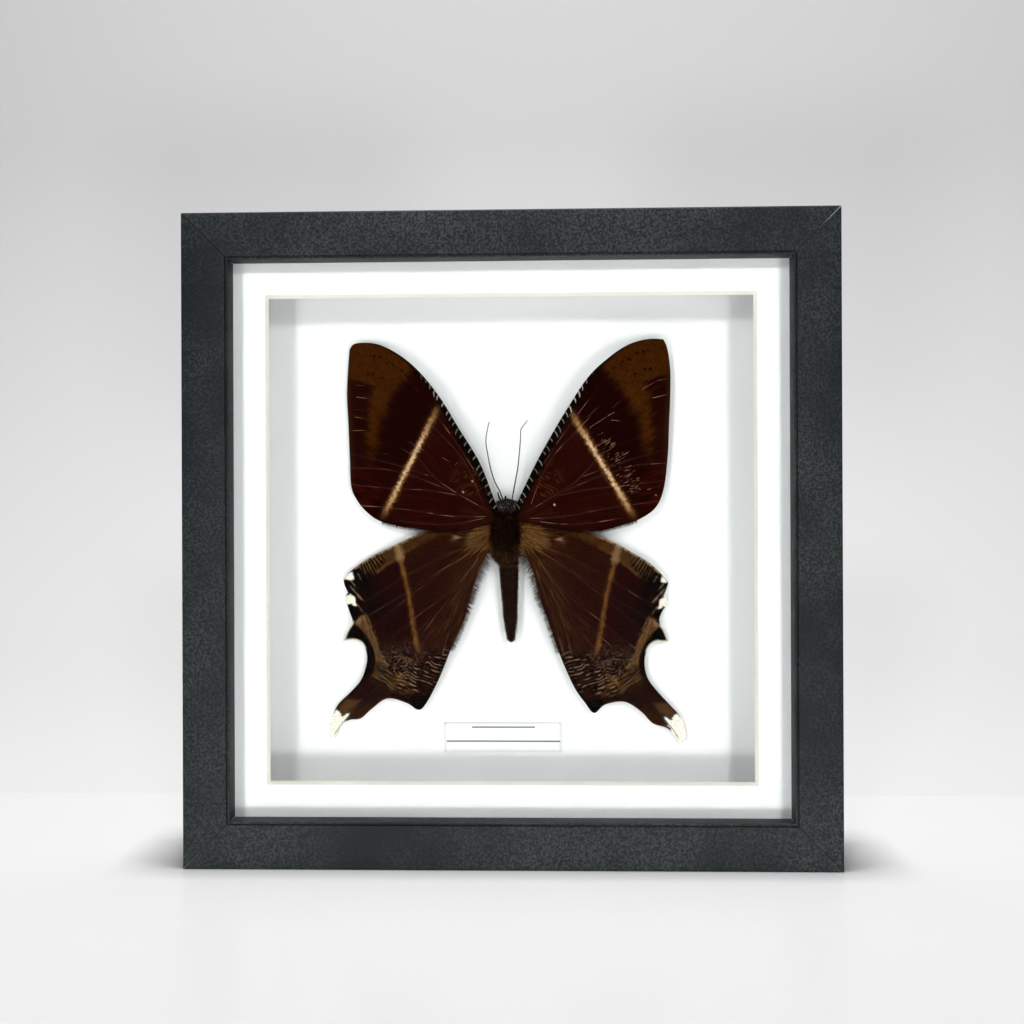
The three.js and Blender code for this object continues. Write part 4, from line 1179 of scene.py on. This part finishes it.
for side_name, side in (("left", -1), ("right", 1)):
    places, ahead = hem(rng, hindwing_edges[side_name][3], 0.6, 0.97, INNER_HAIRS)
    roots = np.column_stack([places - 0.4 * ahead, wing_height(*places.T, HINDWINGS[side_name]) - 0.1])
    leans = np.array([-side, -0.75, 0.1]) + 0.35 * rng.normal(size=(INNER_HAIRS, 3)) * (1, 1, 0.4)
    lengths = rng.uniform(0.8, 2.2, INNER_HAIRS)
    lengths += 2.6 * rng.random(INNER_HAIRS) * fade(places[:, 1], -34, -10)
    tints = hair_tints(rng, INNER_HAIRS, srgb(12, 5, 3), srgb(84, 60, 44), 0.25)
    grow_fur(f"inner_fringe_{side_name}", roots, leans, lengths, tints)

    places, ahead = hem(rng, forewing_edges[side_name][1], 0.6, 0.9, HIND_HAIRS)
    roots = np.column_stack([places, wing_height(*places.T, FOREWINGS[side_name]) - 0.1])
    leans = np.array([0.35 * side, -1, -0.1]) + 0.25 * rng.normal(size=(HIND_HAIRS, 3)) * (1, 1, 0.3)
    lengths = rng.uniform(0.5, 1.4, HIND_HAIRS)
    tints = hair_tints(rng, HIND_HAIRS, srgb(16, 4, 2), srgb(66, 38, 20), 0.2)
    grow_fur(f"hind_fringe_{side_name}", roots, leans, lengths, tints, HIND_RADIUS)

    count = TUFT_HAIRS
    spot = np.column_stack([side * (3.5 + 8 * rng.random(count) ** 1.6), rng.uniform(-5.5, 1.5, count)])
    roots = np.column_stack([spot, wing_height(*spot.T, HINDWINGS[side_name]) + 0.15])
    wild = 0.15 + 0.6 * fade(np.abs(spot[:, 0]), 7, 4)
    fan = np.arctan2(spot[:, 1] - 2.0, spot[:, 0]) + wild * rng.normal(size=count)
    leans = np.column_stack([np.cos(fan), np.sin(fan), 0.06 + 0.1 * rng.random(count)])
    lengths = rng.uniform(2.5, 7.5, count)
    tints = hair_tints(rng, count, srgb(44, 20, 6), srgb(176, 126, 68), 0.38)
    grow_fur(f"base_tuft_{side_name}", roots, leans, lengths, tints, TUFT_RADIUS)


# The bare veins: pale ridges where the scales have rubbed off the wings, with a few scratches and a
# worn patch on the right forewing. They're part of the wings and stand just proud of the scales.
BARE_RADIUS = 0.08
FLECK_RADIUS = 0.095
SCUFFS = {
    -1: [
        [(55.4, 53.5), (51.2, 53.1)], [(55.4, 49.1), (50.7, 48.4)], [(56.4, 44.6), (51.2, 44.1)],
        [(55.9, 41.8), (52.1, 41.1)], [(56.8, 36.8), (51.7, 36.8)], [(45.6, 28.1), (42.7, 27.9)],
        [(54, 9.1), (46, 8.6)], [(23.5, 26.5), (20.2, 24.6)], [(18.8, 23.7), (17.1, 25.1)],
    ],
    1: [
        [(47.8, 50.1), (53.2, 53.2), (56.8, 53.8)], [(51.3, 46.9), (56.6, 48)], [(28.9, 40.9), (33.4, 45)],
        [(29.7, 37.1), (36.9, 41.5)], [(36, 41.1), (38.7, 42.4)], [(37.1, 39.4), (40.4, 38.8)],
        [(14.9, 6.5), (18.9, 6.5)],
    ],
}
WORN_SPOTS = {-1: [], 1: [(35.3, 31), (38.5, 25), (41.5, 19), (44.3, 13.7)]}

rng = np.random.default_rng(131)
for wing_name, forms, pattern_marks, veins, pale in (
    ("forewing", FOREWINGS, FOREWINGS["left"]["marks"], FOREWING_VEINS, srgb(168, 138, 124)),
    ("hindwing", HINDWINGS, HINDWING_PATTERN_MARKS, HINDWING_VEINS, srgb(150, 112, 80)),
):
    for side_name, side in (("left", -1), ("right", 1)):
        lines = []
        for route in veins.values():
            points = smooth_route(route, 0.5)
            first = rng.integers(2, 14)
            while first < len(points) - 12:
                last = min(first + rng.integers(4, 15), len(points) - 7)
                lines.append((points[first], points[last]))
                first = last + rng.integers(2, 30)
        on_veins = len(lines)
        if wing_name == "forewing":
            for route in SCUFFS[side]:
                lines += zip(np.array(route), np.array(route[1:]))
            for spot in WORN_SPOTS[side]:
                for start in spot + 1.5 * rng.normal(size=(30, 2)):
                    lines.append((start, start * (1 + rng.uniform(0.012, 0.036))))
        ends = []
        for points in np.array(lines).transpose(1, 2, 0):
            out, fore = matched(*points, pattern_marks, forms[side_name]["marks"])
            height = wing_height(side * out, fore, forms[side_name]) + VEIN_RIDGE
            ends.append(np.column_stack([side * out, fore, height]))
        lengths = np.linalg.norm(ends[1] - ends[0], axis=1)
        leans = (ends[1] - ends[0]) / lengths[:, None] + (0, 0, HAIR_SAG)
        tints = hair_tints(rng, len(lines), srgb(50, 26, 18), pale, 0.36)
        flecks = len(lines) - on_veins
        tints[on_veins:] = hair_tints(rng, flecks, srgb(64, 38, 26), srgb(178, 142, 116), 0.44)
        thickness = np.repeat([BARE_RADIUS, FLECK_RADIUS], [on_veins, flecks])[:, None]
        shown = bareness(*np.array(lines)[:on_veins, 0].T)[:, None]
        tints[:on_veins] = srgb(24, 6, 3) + shown * (tints[:on_veins] - srgb(24, 6, 3))
        grow_fur(f"{wing_name}_{side_name}_lines", ends[0], leans, lengths, tints, thickness)


# The glue: one dab between the thorax and the board, put on soft and dried slightly yellow, with a
# wrinkled skin.
amber_tones = srgb(206, 190, 140), srgb(224, 212, 172)
glue, tree, shader, skinned = grained_finish("glue", 700, 3, *amber_tones)
shader.inputs["Roughness"].default_value = 0.3
relief(tree, shader, skinned, 0.1 * MM, 0.5)
dress("glue_dab", glue)


# The back panel: brown hardboard with its smooth side out, pressed in behind the specimen board and
# held there by the points.
hardboard, tree, shader = new_finish("hardboard")
fibres = grain(tree, 420, 8, (1, 1, 2.2))
stains = grain(tree, 26, 4)
pulp = two_tone(tree, spread(tree, fibres, 0.0, 1.0), srgb(112, 76, 46), srgb(160, 116, 76))
aged = two_tone(tree, spread(tree, stains, 0.0, 0.4), pulp, srgb(98, 66, 40))
tree.links.new(aged, shader.inputs["Base Color"])
tree.links.new(spread(tree, fibres, 0.5, 0.68), shader.inputs["Roughness"])
relief(tree, shader, fibres, 0.08 * MM, 0.5)
dress("back_panel", hardboard)


# The points: flat blued steel tabs with a few rust spots, driven into slots in the rebate and pressed
# over the panel.
point_steel, tree, shader = new_finish("point_steel")
rolled = grain(tree, 900, 5, (1, 1, 6))
rust = grain(tree, 240, 5)
blued = two_tone(tree, spread(tree, rolled, 0.0, 1.0), srgb(120, 124, 130), srgb(170, 172, 175))
spotted = two_tone(tree, spread(tree, rust, 0.0, 0.5, 0.6, 0.75), blued, srgb(104, 72, 50))
tree.links.new(spotted, shader.inputs["Base Color"])
shader.inputs["Metallic"].default_value = 1.0
tree.links.new(spread(tree, rolled, 0.32, 0.5), shader.inputs["Roughness"])
relief(tree, shader, rolled, 0.02 * MM, 0.5)
for side in ("top", "bottom", "left", "right"):
    for number in (1, 2):
        dress(f"point_{side}_{number}", point_steel)


# The hanger: a bent sawtooth strip of brass-plated steel, riveted to the panel near its top so
# that the frame hangs on one nail.
hanger_brass, tree, shader = new_finish("hanger_brass")
brushed = grain(tree, 500, 5, (0.3, 1, 5))
tarnish = grain(tree, 300, 4)
plated = two_tone(tree, spread(tree, brushed, 0.0, 1.0), srgb(186, 154, 88), srgb(214, 186, 122))
dulled = two_tone(tree, spread(tree, tarnish, 0.0, 0.55, 0.5, 0.75), plated, srgb(132, 102, 56))
tree.links.new(dulled, shader.inputs["Base Color"])
shader.inputs["Metallic"].default_value = 1.0
tree.links.new(spread(tree, brushed, 0.25, 0.42), shader.inputs["Roughness"])
for node in ("hanger", "rivet_left", "rivet_right"):
    dress(node, hanger_brass)


# The set: a pale glossy table, a pale backdrop that curves up behind it, four soft lamps in a square
# round the camera, so that the glass mirrors none of them, a lamp overhead and a weak surround.
TABLE_EDGE = 0.085
COVE_START = 0.22
COVE_RADIUS = 0.5
SET_HALF = 3.0
LAMP_AWAY = 1.08
LAMP_BACK = -3.0
LAMP_SIDE = 0.4
LAMP_POWER = 15.2
OVERHEAD_PLACE = Vector((0, -0.03, 2))
OVERHEAD_AIM = Vector((0, 0.05, 0))
OVERHEAD_SIDE = 0.2
OVERHEAD_POWER = 12.5
OVERHEAD_BEAM = 120
SURROUND = 0.04


def set_sheet(name, bm, foot, head, roughness, specular):
    """A large sheet of the set, going from one grey at its foot to another half a metre up; a darker head is
    painted shade. The lower lamps shine through it."""
    finish, tree, shader = new_finish(name)
    place = add_node(tree, "TexCoord", {}).outputs["Object"]
    height = add_node(tree, "SeparateXYZ", {"Vector": place}).outputs["Z"]
    rise = spread(tree, height, 0.0, 1.0, 0.0, 0.5)
    grey = two_tone(tree, rise, srgb(foot, foot, foot), srgb(head, head, head))
    tree.links.new(grey, shader.inputs["Base Color"])
    shader.inputs["Roughness"].default_value = roughness
    shader.inputs["Specular IOR Level"].default_value = specular
    sheet = new_piece(name, bm, [finish])
    sheet.visible_shadow = False


def set_lamp(name, place, target, side, power, beam=180):
    """A soft square lamp that shines from its place towards the target and isn't seen itself."""
    lamp = bpy.data.lights.new(name, "AREA")
    lamp.size = side
    lamp.energy = power
    lamp.spread = math.radians(beam)
    holder = bpy.data.objects.new(name, lamp)
    holder.location = place
    holder.rotation_euler = (target - place).to_track_quat("-Z", "Y").to_euler()
    holder.visible_camera = False
    bpy.context.scene.collection.objects.link(holder)


bm = bmesh.new()
level = Matrix.Translation((0, TABLE_EDGE - SET_HALF, 0))
bmesh.ops.create_grid(bm, x_segments=1, y_segments=1, size=SET_HALF, matrix=level)
set_sheet("table", bm, 242, 242, 0.2, 0.03)

bm = bmesh.new()
cove = []
for turn in np.linspace(0, math.pi / 2, 33):
    cove.append((COVE_START + COVE_RADIUS * math.sin(turn), COVE_RADIUS * (1 - math.cos(turn))))
profile = [(TABLE_EDGE, 0), *cove, (COVE_START + COVE_RADIUS, SET_HALF)]
line = [bm.verts.new((-SET_HALF, back, up)) for back, up in profile]
chain = [bm.edges.new(pair) for pair in zip(line, line[1:])]
drawn = bmesh.ops.extrude_edge_only(bm, edges=chain)["geom"]
far_end = [item for item in drawn if isinstance(item, bmesh.types.BMVert)]
bmesh.ops.translate(bm, vec=(2 * SET_HALF, 0, 0), verts=far_end)
# The backdrop is painted darker towards its top: painted shade, standing in for the lamps' light falling off
# higher up.
set_sheet("backdrop", bm, 236, 216, 0.9, 0.1)

for across in (-1, 1):
    for up in (-1, 1):
        corner = middle + Vector((across * LAMP_AWAY, LAMP_BACK, up * LAMP_AWAY))
        set_lamp("lamp_corner", corner, middle, LAMP_SIDE, LAMP_POWER)
overhead = OVERHEAD_SIDE, OVERHEAD_POWER, OVERHEAD_BEAM
set_lamp("lamp_overhead", OVERHEAD_PLACE, OVERHEAD_AIM, *overhead)

world = bpy.data.worlds.new("surround")
world.use_nodes = True
world.node_tree.nodes["Background"].inputs["Color"].default_value = (1, 1, 1, 1)
world.node_tree.nodes["Background"].inputs["Strength"].default_value = SURROUND
bpy.context.scene.world = world
bpy.context.scene.view_settings.view_transform = "Standard"


# The camera: straight in front of the glass, a little to the right of the middle and above it.
SENSOR_WIDTH = 36
FOCAL_LENGTH = 39.18
CAMERA_PLACE = (0.0117, -0.4024, 0.1232)
CAMERA_TURN = (90.051, 0.225, 1.62)
eye = bpy.data.cameras.new("camera")
eye.sensor_width = SENSOR_WIDTH
eye.lens = FOCAL_LENGTH
eye.clip_start = 0.01
camera = bpy.data.objects.new("camera", eye)
camera.location = CAMERA_PLACE
camera.rotation_euler = [math.radians(turn) for turn in CAMERA_TURN]
bpy.context.scene.collection.objects.link(camera)
bpy.context.scene.camera = camera
